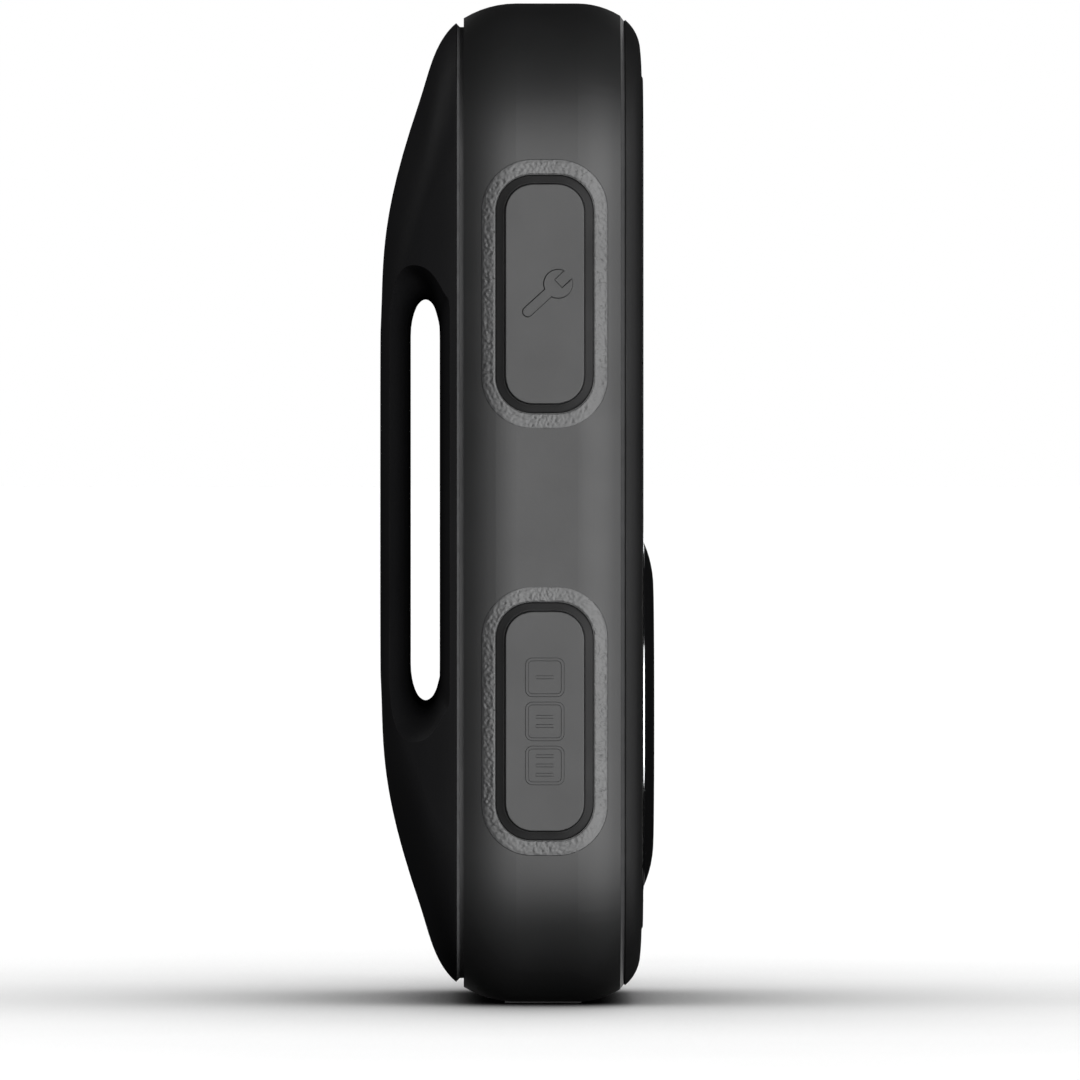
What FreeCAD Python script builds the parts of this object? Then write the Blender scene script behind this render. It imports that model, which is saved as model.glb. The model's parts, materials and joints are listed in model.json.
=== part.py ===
import FreeCAD, Part
import math
import os

import Sketcher  # noqa: F401  registers the sketch objects
import PartDesign  # noqa: F401  registers the PartDesign features

# Handlebar / stem mounted cycling computer, modelled standing on its lower end.
#   X  across the computer (-X is the side with the setup and mode keys)
#   Y  through the computer: -Y is the display side, +Y is the strap side
#   Z  along the computer, 0 at the lower end
# All sizes are millimetres.

V = FreeCAD.Vector
doc = FreeCAD.newDocument("cycling_computer")
sheet = doc.addObject("Spreadsheet::Sheet", "Sizes")

CELLS = {
    # overall envelope
    "body_w": 49.0,
    "body_h": 71.9,
    "mid_z": 36.05,
    "corner_r": 12.0,
    "y_frame_back": 3.87,
    "y_shell_front": 4.155,
    "y_seam_front": -7.65,
    "y_lens_face": -9.03,
    "y_bridge": 9.86,
    # crowned side wall of the middle frame
    "flat_y_lo": -4.3,
    "flat_y_hi": 0.1,
    "crown_back_r": 7.2,
    "crown_front_r": 5.85,
    "crown_front_y": -7.38,
    "crown_front_inset": 0.879,
    "seam_inset": 1.25,
    "base_half_w": 12.3,
    "base_y_lo": -4.6,
    "base_y_hi": 0.9,
    "base_t": 0.85,
    "cav_w": 44.2,
    "cav_h": 67.2,
    "cav_r": 9.6,
    # case screws, near the four corners
    "screw_x": 10.4,
    "screw_dz": 30.6,
    "boss_r": 2.6,
    "boss_y": -3.8,
    "insert_r": 1.5,
    "insert_len": 4.0,
    "screw_r": 0.95,
    "screw_head_r": 1.75,
    "screw_head_h": 0.9,
    "screw_seat_y": 4.8,
    # strap slot
    "slot_y_lo": 5.59,
    "slot_y_hi": 7.77,
    "slot_half": 14.7,
    # side keys
    "key_y": -1.93,
    "key_hi_z": 51.05,
    "key_lo_z": 20.5,
    "key_w": 5.7,
    "key_h": 15.76,
    "key_r": 2.0,
    "key_top_x": 24.95,
    "key_edge": 0.12,
    "hole_w": 7.02,
    "hole_h": 17.05,
    "hole_r": 2.6,
    "key_travel": 0.4,
    "flange_w": 8.2,
    "flange_h": 18.2,
    "flange_x_out": 22.0,
    "flange_x_in": 21.45,
    # front bezel and lens
    "bezel_back_inset": 1.28,
    "bezel_side_inset": 1.18,
    "bezel_side_y": -7.76,
    "bezel_arc_r": 2.978,
    "bezel_mid_inset": 3.0,
    "bezel_mid_y": -8.80,
    "bezel_face_r": 17.6,
    "bezel_face_inset": 4.9,
    "bezel_face_y": -8.93,
    "bezel_in_inset": 7.0,
    "bezel_plate_y": -7.2,
    "bezel_lip_y": -6.2,
    "lens_w": 38.6,
    "lens_h": 61.6,
    "lens_r": 7.0,
    "lens_t": 1.0,
    "lens_gap": 0.1,
    "film_t": 0.1,
    "win_w": 36.8,
    "win_h": 27.6,
    "win_z": 50.4,
    # navigation pad
    "pad_z": 20.6,
    "pad_r": 12.47,
    "pad_top_y": -9.886,
    "pad_hole_r": 12.72,
    "trim_in_r": 12.66,
    "trim_out_r": 13.7,
    "trim_top_y": -9.15,
    "lens_hole_r": 13.8,
    "ok_r": 4.5,
    "ok_hole_r": 4.75,
    "ok_travel": 0.3,
    # boards
    "board_w": 40.0,
    "board_h": 62.0,
    "board_y_front": -4.6,
    "board_y_back": -3.8,
    # battery
    "bat_half_w": 17.5,
    "bat_z_lo": 14.5,
    "bat_z_hi": 50.5,
    "bat_y_lo": -2.9,
    "bat_y_hi": 3.1,
}


class Q:
    """A size with its value and the expression that reads it from the sheet."""

    def __init__(self, value, text):
        self.v = float(value)
        self.t = text

    @staticmethod
    def of(x):
        return x if isinstance(x, Q) else Q(x, repr(float(x)))

    def __add__(self, o):
        o = Q.of(o)
        return Q(self.v + o.v, "(%s + %s)" % (self.t, o.t))

    def __radd__(self, o):
        return Q.of(o) + self

    def __sub__(self, o):
        o = Q.of(o)
        return Q(self.v - o.v, "(%s - (%s))" % (self.t, o.t))

    def __rsub__(self, o):
        return Q.of(o) - self

    def __mul__(self, o):
        o = Q.of(o)
        return Q(self.v * o.v, "(%s * (%s))" % (self.t, o.t))

    def __rmul__(self, o):
        return Q.of(o) * self

    def __truediv__(self, o):
        o = Q.of(o)
        return Q(self.v / o.v, "(%s / (%s))" % (self.t, o.t))

    def __neg__(self):
        return Q(-self.v, "(0 - (%s))" % self.t)


class Cells:
    def __getattr__(self, name):
        return Q(CELLS[name], "Sizes." + name)


for row, (name, value) in enumerate(CELLS.items(), start=1):
    sheet.set("A%d" % row, name)
    sheet.set("B%d" % row, "%g" % value)
    sheet.setAlias("B%d" % row, name)
doc.recompute()
c = Cells()
ZERO = Q(0, "0")


def bind(obj, prop, q):
    q = Q.of(q)
    obj.setExpression(prop, q.t)


# ---------------------------------------------------------------- sketches

ROLE = {"XY": "XY_Plane", "XZ": "XZ_Plane", "YZ": "YZ_Plane"}


def new_body(label):
    b = doc.addObject("PartDesign::Body", "Body_" + label)
    b.Label = label
    return b


def new_sketch(body, plane, normal_offset=0):
    sk = body.newObject("Sketcher::SketchObject", "Sketch_" + body.Label)
    plane_obj = [f for f in body.Origin.OriginFeatures if f.Role == ROLE[plane]][0]
    sk.AttachmentSupport = [(plane_obj, "")]
    sk.MapMode = "FlatFace"
    q = Q.of(normal_offset)
    sk.AttachmentOffset = FreeCAD.Placement(V(0, 0, q.v), FreeCAD.Rotation())
    bind(sk, "AttachmentOffset.Base.z", q)
    return sk


def dim(sk, kind, args, q):
    q = Q.of(q)
    i = sk.addConstraint(Sketcher.Constraint(kind, *args, q.v))
    name = "d%d" % i
    sk.renameConstraint(i, name)
    sk.setExpression("Constraints." + name, q.t)


def rounded_rect(sk, cx, cy, w, h, r):
    cx, cy, w, h, r = (Q.of(x) for x in (cx, cy, w, h, r))
    x0, x1 = cx.v - w.v / 2, cx.v + w.v / 2
    y0, y1 = cy.v - h.v / 2, cy.v + h.v / 2
    R = r.v
    seg = lambda a, b, p, q: Part.LineSegment(V(a, b, 0), V(p, q, 0))
    arc = lambda a, b, s: Part.ArcOfCircle(Part.Circle(V(a, b, 0), V(0, 0, 1), R), math.radians(s), math.radians(s + 90))
    g = sk.addGeometry(
        [
            seg(x0 + R, y0, x1 - R, y0),
            arc(x1 - R, y0 + R, -90),
            seg(x1, y0 + R, x1, y1 - R),
            arc(x1 - R, y1 - R, 0),
            seg(x1 - R, y1, x0 + R, y1),
            arc(x0 + R, y1 - R, 90),
            seg(x0, y1 - R, x0, y0 + R),
            arc(x0 + R, y0 + R, 180),
        ],
        False,
    )
    C = Sketcher.Constraint
    sk.addConstraint([C("Tangent", g[k], 2, g[(k + 1) % 8], 1) for k in range(8)])
    sk.addConstraint([C("Horizontal", g[0]), C("Horizontal", g[4]), C("Vertical", g[2]), C("Vertical", g[6])])
    sk.addConstraint([C("Equal", g[1], g[3]), C("Equal", g[1], g[5]), C("Equal", g[1], g[7])])
    dim(sk, "Radius", (g[1],), r)
    dim(sk, "DistanceX", (g[6], 1, g[2], 1), w)
    dim(sk, "DistanceY", (g[0], 1, g[4], 1), h)
    dim(sk, "DistanceX", (-1, 1, g[6], 1), cx - w / 2)
    dim(sk, "DistanceY", (-1, 1, g[0], 1), cy - h / 2)


def circle(sk, cx, cy, r):
    cx, cy, r = (Q.of(x) for x in (cx, cy, r))
    g = sk.addGeometry(Part.Circle(V(cx.v, cy.v, 0), V(0, 0, 1), r.v), False)
    dim(sk, "Radius", (g,), r)
    dim(sk, "DistanceX", (-1, 1, g, 3), cx)
    dim(sk, "DistanceY", (-1, 1, g, 3), cy)


def profile(sk, points, arcs=None):
    """Closed outline through points (x, y). arcs[i] = (radius, side) makes the edge from
    point i to point i + 1 an arc of that radius; side +1 has its centre to the left."""
    arcs = arcs or {}
    pts = [(Q.of(a), Q.of(b)) for a, b in points]
    n = len(pts)
    ids, ends = [], []
    for i in range(n):
        a, b = pts[i], pts[(i + 1) % n]
        A, B = V(a[0].v, a[1].v, 0), V(b[0].v, b[1].v, 0)
        if i in arcs:
            r, side = arcs[i]
            r = Q.of(r)
            d = B - A
            mid = (A + B) * 0.5
            left = V(-d.y, d.x, 0)
            left.normalize()
            half = d.Length / 2
            centre = mid + left * (side * math.sqrt(max(r.v**2 - half**2, 0)))
            a0 = math.atan2(A.y - centre.y, A.x - centre.x)
            a1 = math.atan2(B.y - centre.y, B.x - centre.x)
            circ = Part.Circle(centre, V(0, 0, 1), r.v)
            if side > 0:  # counter-clockwise from A to B
                geo, e = Part.ArcOfCircle(circ, a0, a1), (1, 2)
            else:
                geo, e = Part.ArcOfCircle(circ, a1, a0), (2, 1)
            gid = sk.addGeometry(geo, False)
        else:
            gid = sk.addGeometry(Part.LineSegment(A, B), False)
            e = (1, 2)
        ids.append(gid)
        ends.append(e)
    for i in range(n):
        j = (i + 1) % n
        sk.addConstraint(Sketcher.Constraint("Coincident", ids[i], ends[i][1], ids[j], ends[j][0]))
    for i in range(n):
        dim(sk, "DistanceX", (-1, 1, ids[i], ends[i][0]), pts[i][0])
        dim(sk, "DistanceY", (-1, 1, ids[i], ends[i][0]), pts[i][1])
        if i in arcs:
            dim(sk, "Radius", (ids[i],), arcs[i][0])


def draw(sk, shapes):
    for s in shapes:
        if s[0] == "rr":
            rounded_rect(sk, *s[1:])
        elif s[0] == "c":
            circle(sk, *s[1:])
        elif s[0] == "p":
            profile(sk, *s[1:])


# ---------------------------------------------------------------- features
# The XZ plane's normal is -Y, the YZ plane's is +X and the XY plane's is +Z.

NORMAL = {"XZ": -1, "YZ": 1, "XY": 1}


def extrude(body, kind, plane, shapes, start, end):
    start, end = Q.of(start), Q.of(end)
    sign = NORMAL[plane]
    sk = new_sketch(body, plane, start if sign > 0 else -start)
    draw(sk, shapes)
    f = body.newObject("PartDesign::" + kind, kind + "_" + body.Label)
    f.Profile = sk
    forwards = (end.v - start.v) * sign > 0
    f.Length = abs(end.v - start.v)
    bind(f, "Length", end - start if end.v > start.v else start - end)
    # a Pad goes along the sketch's normal, a Pocket against it
    f.Reversed = forwards if kind == "Pocket" else not forwards
    sk.Visibility = False
    doc.recompute()
    return f


def pad(body, plane, shapes, start, end):
    return extrude(body, "Pad", plane, shapes, start, end)


def pocket(body, plane, shapes, start, end):
    before = body.Shape.Volume
    f = extrude(body, "Pocket", plane, shapes, start, end)
    if body.Shape.Volume > before - 1e-6:
        raise RuntimeError("pocket in %s cuts nothing" % body.Label)
    return f


def dress(body, kind, size, chosen, second=None, flip=False):
    """Fillet or Chamfer on the edges of the body's tip that chosen(edge) picks."""
    base = body.Tip
    names = ["Edge%d" % (i + 1) for i, e in enumerate(base.Shape.Edges) if chosen(e)]
    if not names:
        raise RuntimeError("no edges to dress on " + body.Label)
    f = body.newObject("PartDesign::" + kind, kind + "_" + body.Label)
    f.Base = (base, names)
    if kind == "Fillet":
        f.Radius = Q.of(size).v
        bind(f, "Radius", size)
    else:
        f.Size = Q.of(size).v
        bind(f, "Size", size)
        if second is not None:
            f.ChamferType = "Two distances"
            f.Size2 = Q.of(second).v
            f.FlipDirection = flip
    body.Tip = f
    doc.recompute()
    if not f.Shape.isValid() or f.Shape.isNull() or "Invalid" in f.State:
        raise RuntimeError("%s failed on %s" % (kind, body.Label))
    return f


def place(obj, x, y, z, rot=None):
    obj.Placement = FreeCAD.Placement(V(Q.of(x).v, Q.of(y).v, Q.of(z).v), rot or FreeCAD.Rotation())
    for axis, q in (("x", x), ("y", y), ("z", z)):
        bind(obj, "Placement.Base." + axis, q)


def box(label, x0, x1, y0, y1, z0, z1):
    b = doc.addObject("Part::Box", "Box_" + label)
    b.Label = label
    for prop, q in (("Length", Q.of(x1) - x0), ("Width", Q.of(y1) - y0), ("Height", Q.of(z1) - z0)):
        setattr(b, prop, q.v)
        bind(b, prop, q)
    place(b, x0, y0, z0)
    return b


AXIS_ROT = {
    "x": FreeCAD.Rotation(V(0, 1, 0), 90),
    "y": FreeCAD.Rotation(V(1, 0, 0), -90),
    "z": FreeCAD.Rotation(),
}


def cylinder(label, axis, x, y, z, r, length):
    b = doc.addObject("Part::Cylinder", "Cyl_" + label)
    b.Label = label
    b.Radius = Q.of(r).v
    bind(b, "Radius", r)
    b.Height = Q.of(length).v
    bind(b, "Height", length)
    place(b, x, y, z, AXIS_ROT[axis])
    return b


def fuse(label, shapes):
    f = doc.addObject("Part::MultiFuse", "Fuse_" + label)
    f.Shapes = shapes
    f.Label = label
    doc.recompute()
    return f


def cut(label, base, tool):
    f = doc.addObject("Part::Cut", "Cut_" + label)
    f.Base = base
    f.Tool = tool
    f.Label = label
    doc.recompute()
    if f.Shape.Volume > base.Shape.Volume - 1e-6:
        raise RuntimeError("cut %s removes nothing" % label)
    return f


def common(label, base, tool):
    f = doc.addObject("Part::Common", "Common_" + label)
    f.Base = base
    f.Tool = tool
    f.Label = label
    doc.recompute()
    return f


def round_edges(label, base, radius, chosen, kind="Fillet"):
    f = doc.addObject("Part::" + kind, kind + "_" + label)
    f.Base = base
    f.Edges = [(i + 1, radius, radius) for i, e in enumerate(base.Shape.Edges) if chosen(e)]
    f.Label = label
    doc.recompute()
    if f.Shape.isNull() or not f.Shape.isValid():
        raise RuntimeError("%s failed on %s" % (kind, label))
    return f


def compound(label, objs):
    f = doc.addObject("Part::Compound", "Group_" + label)
    f.Links = objs
    f.Label = label
    doc.recompute()
    return f


def direction(e):
    a, b = e.Vertexes[0].Point, e.Vertexes[-1].Point
    d = b - a
    return d * (1 / d.Length) if d.Length > 1e-9 else V(0, 0, 0)


def along(e, axis):
    return len(e.Vertexes) == 2 and e.Curve.TypeId.endswith("Line") and abs(direction(e).dot(axis)) > 0.999


X, Y, Z = V(1, 0, 0), V(0, 1, 0), V(0, 0, 1)
parts = []  # the sub-parts, each written to parts/LABEL.step


def keep(obj):
    parts.append(obj)
    return obj


corners = [(sx, sz) for sx in (-1, 1) for sz in (-1, 1)]


def screw_points(r):
    return [("c", c.screw_x * sx, c.mid_z + c.screw_dz * sz, r) for sx, sz in corners]


def rib_points(w, deep):
    """Webs that tie the screw bosses to the end walls."""
    lo, hi = c.screw_dz.v - 0.1, c.cav_h.v / 2 + deep
    return [("rr", c.screw_x * sx, c.mid_z + (lo + hi) / 2 * sz, w, hi - lo, 0.2) for sx, sz in corners]


# ---------------------------------------------------------------- middle frame
# A closed ring: its crowned wall section is carried round the rounded outline.

half_w, half_h = c.body_w / 2, c.body_h / 2


def ring_path(body):
    """Outline of the computer at its widest, cut in the middle of the +X side so the ring starts there."""
    sk = new_sketch(body, "XZ", 0)
    rounded_path(sk)
    return sk


def rounded_path(sk):
    W, H, R, zc = half_w.v, half_h.v, c.corner_r.v, c.mid_z.v
    seg = lambda a, b, p, q: Part.LineSegment(V(a, b, 0), V(p, q, 0))
    arc = lambda a, b, s: Part.ArcOfCircle(Part.Circle(V(a, b, 0), V(0, 0, 1), R), math.radians(s), math.radians(s + 90))
    g = sk.addGeometry(
        [
            seg(W, zc, W, zc + H - R),
            arc(W - R, zc + H - R, 0),
            seg(W - R, zc + H, -W + R, zc + H),
            arc(-W + R, zc + H - R, 90),
            seg(-W, zc + H - R, -W, zc - H + R),
            arc(-W + R, zc - H + R, 180),
            seg(-W + R, zc - H, W - R, zc - H),
            arc(W - R, zc - H + R, 270),
            seg(W, zc - H + R, W, zc),
        ],
        False,
    )
    C = Sketcher.Constraint
    sk.addConstraint([C("Tangent", g[k], 2, g[k + 1], 1) for k in range(8)])
    sk.addConstraint(C("Coincident", g[8], 2, g[0], 1))
    sk.addConstraint([C("Horizontal", g[2]), C("Horizontal", g[6]), C("Vertical", g[0]), C("Vertical", g[4]), C("Vertical", g[8])])
    sk.addConstraint([C("Equal", g[1], g[3]), C("Equal", g[1], g[5]), C("Equal", g[1], g[7])])
    dim(sk, "Radius", (g[1],), c.corner_r)
    dim(sk, "DistanceX", (-1, 1, g[0], 1), half_w)
    dim(sk, "DistanceX", (-1, 1, g[4], 1), -half_w)
    dim(sk, "DistanceY", (-1, 1, g[0], 1), c.mid_z)
    dim(sk, "DistanceY", (-1, 1, g[2], 1), c.mid_z + half_h)
    dim(sk, "DistanceY", (-1, 1, g[6], 1), c.mid_z - half_h)


def swept_ring(body, points, arcs):
    path = ring_path(body)
    sk = new_sketch(body, "XY", c.mid_z)
    profile(sk, points, arcs)
    doc.recompute()
    f = body.newObject("PartDesign::AdditivePipe", "Ring_" + body.Label)
    f.Profile = sk
    f.Spine = (path, ["Edge%d" % (i + 1) for i in range(9)])
    f.Mode = "Binormal"
    f.Binormal = V(0, 1, 0)
    doc.recompute()
    return f


mid = new_body("mid_frame")
back_inset = c.crown_back_r.v - math.sqrt(c.crown_back_r.v**2 - (c.y_frame_back.v - c.flat_y_hi.v) ** 2)
back_x = half_w - round(back_inset, 3)
front_crown_x = half_w - c.crown_front_inset
swept_ring(
    mid,
    [
        (c.cav_w / 2, c.y_frame_back),
        (back_x, c.y_frame_back),
        (half_w, c.flat_y_hi),
        (half_w, c.flat_y_lo),
        (front_crown_x, c.crown_front_y),
        (half_w - c.seam_inset, c.y_seam_front),
        (c.cav_w / 2, c.y_seam_front),
    ],
    {1: (c.crown_back_r, -1), 3: (c.crown_front_r, -1)},
)
# screw bosses that also carry the main board
pad(mid, "XZ", screw_points(c.boss_r), c.y_frame_back, c.boss_y)
pad(mid, "XZ", rib_points(4.0, 0.3), c.y_frame_back, c.boss_y)
pocket(mid, "XZ", screw_points(c.insert_r + 0.02), c.y_frame_back, c.y_frame_back - c.insert_len - 0.6)
# two key openings through each side wall
for z in (c.key_hi_z, c.key_lo_z):
    pocket(mid, "YZ", [("rr", c.key_y, z, c.hole_w, c.hole_h, c.hole_r)], 30, -30)
# shallow recess in the lower end for the rubber foot, which stands 0.1 proud
base_yc = (c.base_y_lo + c.base_y_hi) / 2
pocket(mid, "XY", [("rr", 0, base_yc, 2 * c.base_half_w + 0.1, c.base_y_hi - c.base_y_lo + 0.1, 0.1)], -1, c.base_t + 0.02)
keep(mid)
keep(box("base_pad", -c.base_half_w, c.base_half_w, c.base_y_lo, c.base_y_hi, 0, c.base_t))

# ---------------------------------------------------------------- back shell
# Outer form: rounded rectangles stacked along Y. Each row is (Y, half width, half height, corner radius).

FORM = [
    (4.42, 23.10, 34.53, 10.55),
    (4.75, 23.08, 34.22, 10.40),
    (5.45, 22.95, 33.30, 10.10),
    (6.30, 22.70, 31.35, 9.60),
    (7.40, 22.20, 27.85, 9.00),
    (8.50, 21.30, 24.20, 8.30),
    (9.25, 20.30, 20.85, 7.60),
    (9.65, 19.35, 17.60, 7.00),
    (9.86, 18.30, 12.50, 6.20),
]

form_body = new_body("shell_form")


def form_loft(rows, ruled):
    sketches = []
    for y, hx, hz, r in rows:
        sk = new_sketch(form_body, "XZ", -y)
        rounded_rect(sk, 0, c.mid_z, 2 * hx, 2 * hz, r)
        sketches.append(sk)
    doc.recompute()
    f = form_body.newObject("PartDesign::AdditiveLoft", "Loft_form")
    f.Profile = sketches[0]
    f.Sections = sketches[1:]
    f.Ruled = ruled
    doc.recompute()


form_loft(FORM, False)
# bevel along the seam with the middle frame
y0, hx0, hz0, r0 = FORM[0]
form_loft([(c.y_shell_front.v, hx0 - 0.27, hz0 - 0.27, r0 - 0.27), FORM[0]], True)


def slot_wire(label, x, y0, y1, half, nose):
    """Closed outline of the strap slot at one X: straight sides with elliptical ends of length nose."""
    yc, b = (y0 + y1) / 2, (y1 - y0) / 2
    zc = c.mid_z.v
    p = lambda y, z: V(x, y, z)
    ends = (p(y1, zc + half - nose), p(y0, zc + half - nose), p(y0, zc - half + nose), p(y1, zc - half + nose))
    edges = [
        ellipse_end(x, yc, zc + half - nose, b, nose, 1),
        Part.LineSegment(ends[1], ends[2]).toShape(),
        ellipse_end(x, yc, zc - half + nose, b, nose, -1),
        Part.LineSegment(ends[3], ends[0]).toShape(),
    ]
    w = Part.Wire(Part.__sortEdges__(edges))
    f = doc.addObject("Part::Feature", "Wire_" + label)
    f.Label = label
    f.Shape = w
    return f


def ellipse_end(x, yc, zc, b, nose, side):
    """Half an ellipse from (yc + b) round the nose to (yc - b)."""
    pts = []
    for k in range(9):
        a = math.pi * k / 8
        pts.append(V(x, yc + b * math.cos(a), zc + side * nose * math.sin(a)))
    curve = Part.BSplineCurve()
    t = V(0, 0, side)
    curve.interpolate(Points=pts, InitialTangent=t, FinalTangent=V(0, 0, -side))
    return curve.toShape()


# Bell mouth of the slot at each side. Each row is (X, Y low, Y high, half length, end length).
MOUTH = [
    (0.0, 5.59, 7.77, 14.7, 2.7),
    (17.6, 5.59, 7.77, 14.7, 2.7),
    (18.8, 5.58, 8.05, 14.9, 2.8),
    (19.8, 5.52, 8.65, 15.4, 3.1),
    (20.7, 5.42, 9.60, 16.15, 3.6),
    (21.7, 5.25, 10.9, 16.9, 4.1),
    (22.6, 5.02, 12.2, 17.6, 4.6),
    (23.6, 4.65, 13.8, 18.5, 5.2),
]
tools = []
for side in (-1, 1):
    wires = [slot_wire("slot_%s_%d" % ("l" if side < 0 else "r", i), side * x, y0, y1, h, n) for i, (x, y0, y1, h, n) in enumerate(MOUTH)]
    straight = doc.addObject("Part::Loft", "SlotStraight")
    straight.Sections = wires[:2]
    straight.Solid, straight.Ruled = True, True
    bell = doc.addObject("Part::Loft", "SlotBell")
    bell.Sections = wires[1:]
    bell.Solid, bell.Ruled = True, False
    tools += [straight, bell]
doc.recompute()
slot_tool = fuse("slot_tool", tools)

# rim that locates the shell inside the middle frame
rim = new_body("shell_rim")
pad(rim, "XZ", [("rr", 0, c.mid_z, c.cav_w - 0.2, c.cav_h - 0.2, c.cav_r - 0.1), ("rr", 0, c.mid_z, c.cav_w - 2.2, c.cav_h - 2.2, c.cav_r - 1.1)], 4.3, 2.6)
pocket(rim, "XZ", screw_points(c.boss_r + 0.15), 4.155, 2.0)
pocket(rim, "XZ", rib_points(4.3, 0.3), 4.155, 2.0)
shell_solid = fuse("shell_solid", [form_body, rim])

# hollow pods above and below the slot, screw holes and seats
hollow = new_body("shell_hollow")
for dz in (1, -1):
    pad(hollow, "XZ", [("rr", 0, c.mid_z + 22.3 * dz, 29, 11.4, 2.5)], 5.9, 4.0)
pad(hollow, "XZ", screw_points(1.1), 8, 4.0)
pad(hollow, "XZ", screw_points(1.95), 9, c.screw_seat_y)

# well for the charging port flap, on the lower slope. Its frame follows the slope.
SLOPE = -16.0  # degrees, of the pod's face from the vertical
FLAP_Z, FLAP_Y = 10.9, 8.19
slope_rot = FreeCAD.Rotation(X, SLOPE)
slope_place = FreeCAD.Placement(V(0, FLAP_Y, FLAP_Z), slope_rot)
FLAP_HALF_W, FLAP_LO, FLAP_HI, FLAP_T, FLAP_BEAD = 6.4, -3.5, 2.6, 1.4, 0.7


def slope_block(label, half_w_, lo, hi, deep, out, r):
    """Block in the slope's frame: X across, Z up the slope, Y outwards."""
    b = doc.addObject("Part::Box", "Box_" + label)
    b.Length, b.Width, b.Height = 2 * half_w_, deep + out, hi - lo
    b.Placement = slope_place.multiply(FreeCAD.Placement(V(-half_w_, -deep, lo), FreeCAD.Rotation()))
    doc.recompute()
    n = slope_rot.multVec(Y)
    if r <= 0:
        return b
    low = slope_place.multVec(V(0, 0, lo)).z
    return round_edges(label + "_round", b, r, lambda e: along(e, n) and abs(e.CenterOfMass.z - low) < 2.2)


def slope_rod(label, half_w_, up, deep, r):
    b = doc.addObject("Part::Cylinder", "Rod_" + label)
    b.Radius, b.Height = r, 2 * half_w_
    b.Placement = slope_place.multiply(FreeCAD.Placement(V(-half_w_, -deep, up), AXIS_ROT["x"]))
    return b


well = fuse(
    "port_well",
    [
        slope_block("well", FLAP_HALF_W + 0.12, FLAP_LO - 0.12, FLAP_HI, FLAP_T + 0.1, 3.0, 1.4),
        slope_block("well_top", FLAP_HALF_W + 0.12, FLAP_HI - 0.5, FLAP_HI + FLAP_BEAD + 0.08, FLAP_BEAD, 3.0, 0),
        slope_rod("well_bead", FLAP_HALF_W + 0.12, FLAP_HI, FLAP_BEAD, FLAP_BEAD + 0.08),
    ],
)
# finger notch under the flap's free end, and the port's own opening
notch = doc.addObject("Part::Sphere", "Notch")
notch.Radius = 3.2
notch.Placement = slope_place.multiply(FreeCAD.Placement(V(0, 2.35, FLAP_LO - 0.1), FreeCAD.Rotation()))
PORT_Z = 10.9
port_hole = new_body("port_hole")
pad(port_hole, "XZ", [("rr", 0, PORT_Z, 9.5, 3.8, 1.85)], 9.0, 4.0)
doc.recompute()
shell_tools = fuse("shell_tools", [slot_tool, hollow, well, notch, port_hole])
back = cut("back_shell", shell_solid, shell_tools)
keep(back)

flap_solid = fuse(
    "flap_solid",
    [
        slope_block("flap", FLAP_HALF_W, FLAP_LO, FLAP_HI, FLAP_T, 3.0, 1.3),
        slope_rod("flap_bead", FLAP_HALF_W, FLAP_HI, FLAP_BEAD, FLAP_BEAD),
    ],
)
form_copy = doc.addObject("Part::Compound", "FormLink")
form_copy.Links = [form_body]
doc.recompute()
flap_skin = common("flap_skin", flap_solid, form_copy)
flap_plug = new_body("flap_plug")
pad(flap_plug, "XZ", [("rr", 0, PORT_Z, 8.6, 3.0, 1.45)], 7.2, 6.15)
flap = fuse("port_flap", [flap_skin, flap_plug])
keep(flap)

# ---------------------------------------------------------------- case seal, screws, inserts

gasket = new_body("case_gasket")
pad(
    gasket,
    "XZ",
    [("rr", 0, c.mid_z, 45.5, 68.5, 10.2), ("rr", 0, c.mid_z, c.cav_w + 0.1, c.cav_h + 0.1, c.cav_r + 0.05)],
    c.y_shell_front,
    c.y_frame_back,
)
pad(gasket, "XZ", screw_points(2.6), c.y_shell_front, c.y_frame_back)
pad(gasket, "XZ", rib_points(4.0, 0.3), c.y_shell_front, c.y_frame_back)
pocket(gasket, "XZ", screw_points(1.6), c.y_frame_back, c.y_shell_front)
keep(gasket)

screws, inserts = [], []
for sx, sz in corners:
    px, pz = c.screw_x * sx, c.mid_z + c.screw_dz * sz
    tag = "%s%s" % ("l" if sx < 0 else "r", "b" if sz < 0 else "t")
    head = cylinder("head_" + tag, "y", px, c.screw_seat_y, pz, c.screw_head_r, c.screw_head_h)
    shank = cylinder("shank_" + tag, "y", px, c.screw_seat_y - 5.2, pz, c.screw_r, 5.2)
    drive = new_body("drive_" + tag)
    pad(drive, "XZ", [("c", px, pz, 0.55)], c.screw_seat_y + c.screw_head_h + 0.2, c.screw_seat_y + 0.35)
    lobes = []
    for k in range(6):
        a = math.radians(60 * k)
        lobes.append(("c", px + 0.62 * math.cos(a), pz + 0.62 * math.sin(a), 0.22))
    for lobe in lobes:
        pad(drive, "XZ", [lobe], c.screw_seat_y + c.screw_head_h + 0.2, c.screw_seat_y + 0.35)
    solid = fuse("screw_body_" + tag, [head, shank])
    domed = round_edges(
        "screw_domed_" + tag, solid, 0.3,
        lambda e: e.Curve.TypeId.endswith("Circle") and abs(e.Curve.Radius - c.screw_head_r.v) < 1e-3 and abs(e.CenterOfMass.y - c.screw_seat_y.v - c.screw_head_h.v) < 1e-3,
    )
    screws.append(cut("screw_" + tag, domed, drive))
    tube = cylinder("insert_out_" + tag, "y", px, c.y_frame_back - c.insert_len, pz, c.insert_r, c.insert_len)
    hole = cylinder("insert_in_" + tag, "y", px, c.y_frame_back - c.insert_len - 1, pz, c.screw_r + 0.03, c.insert_len + 2)
    inserts.append(cut("insert_" + tag, tube, hole))
keep(compound("case_screws", screws))
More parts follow.
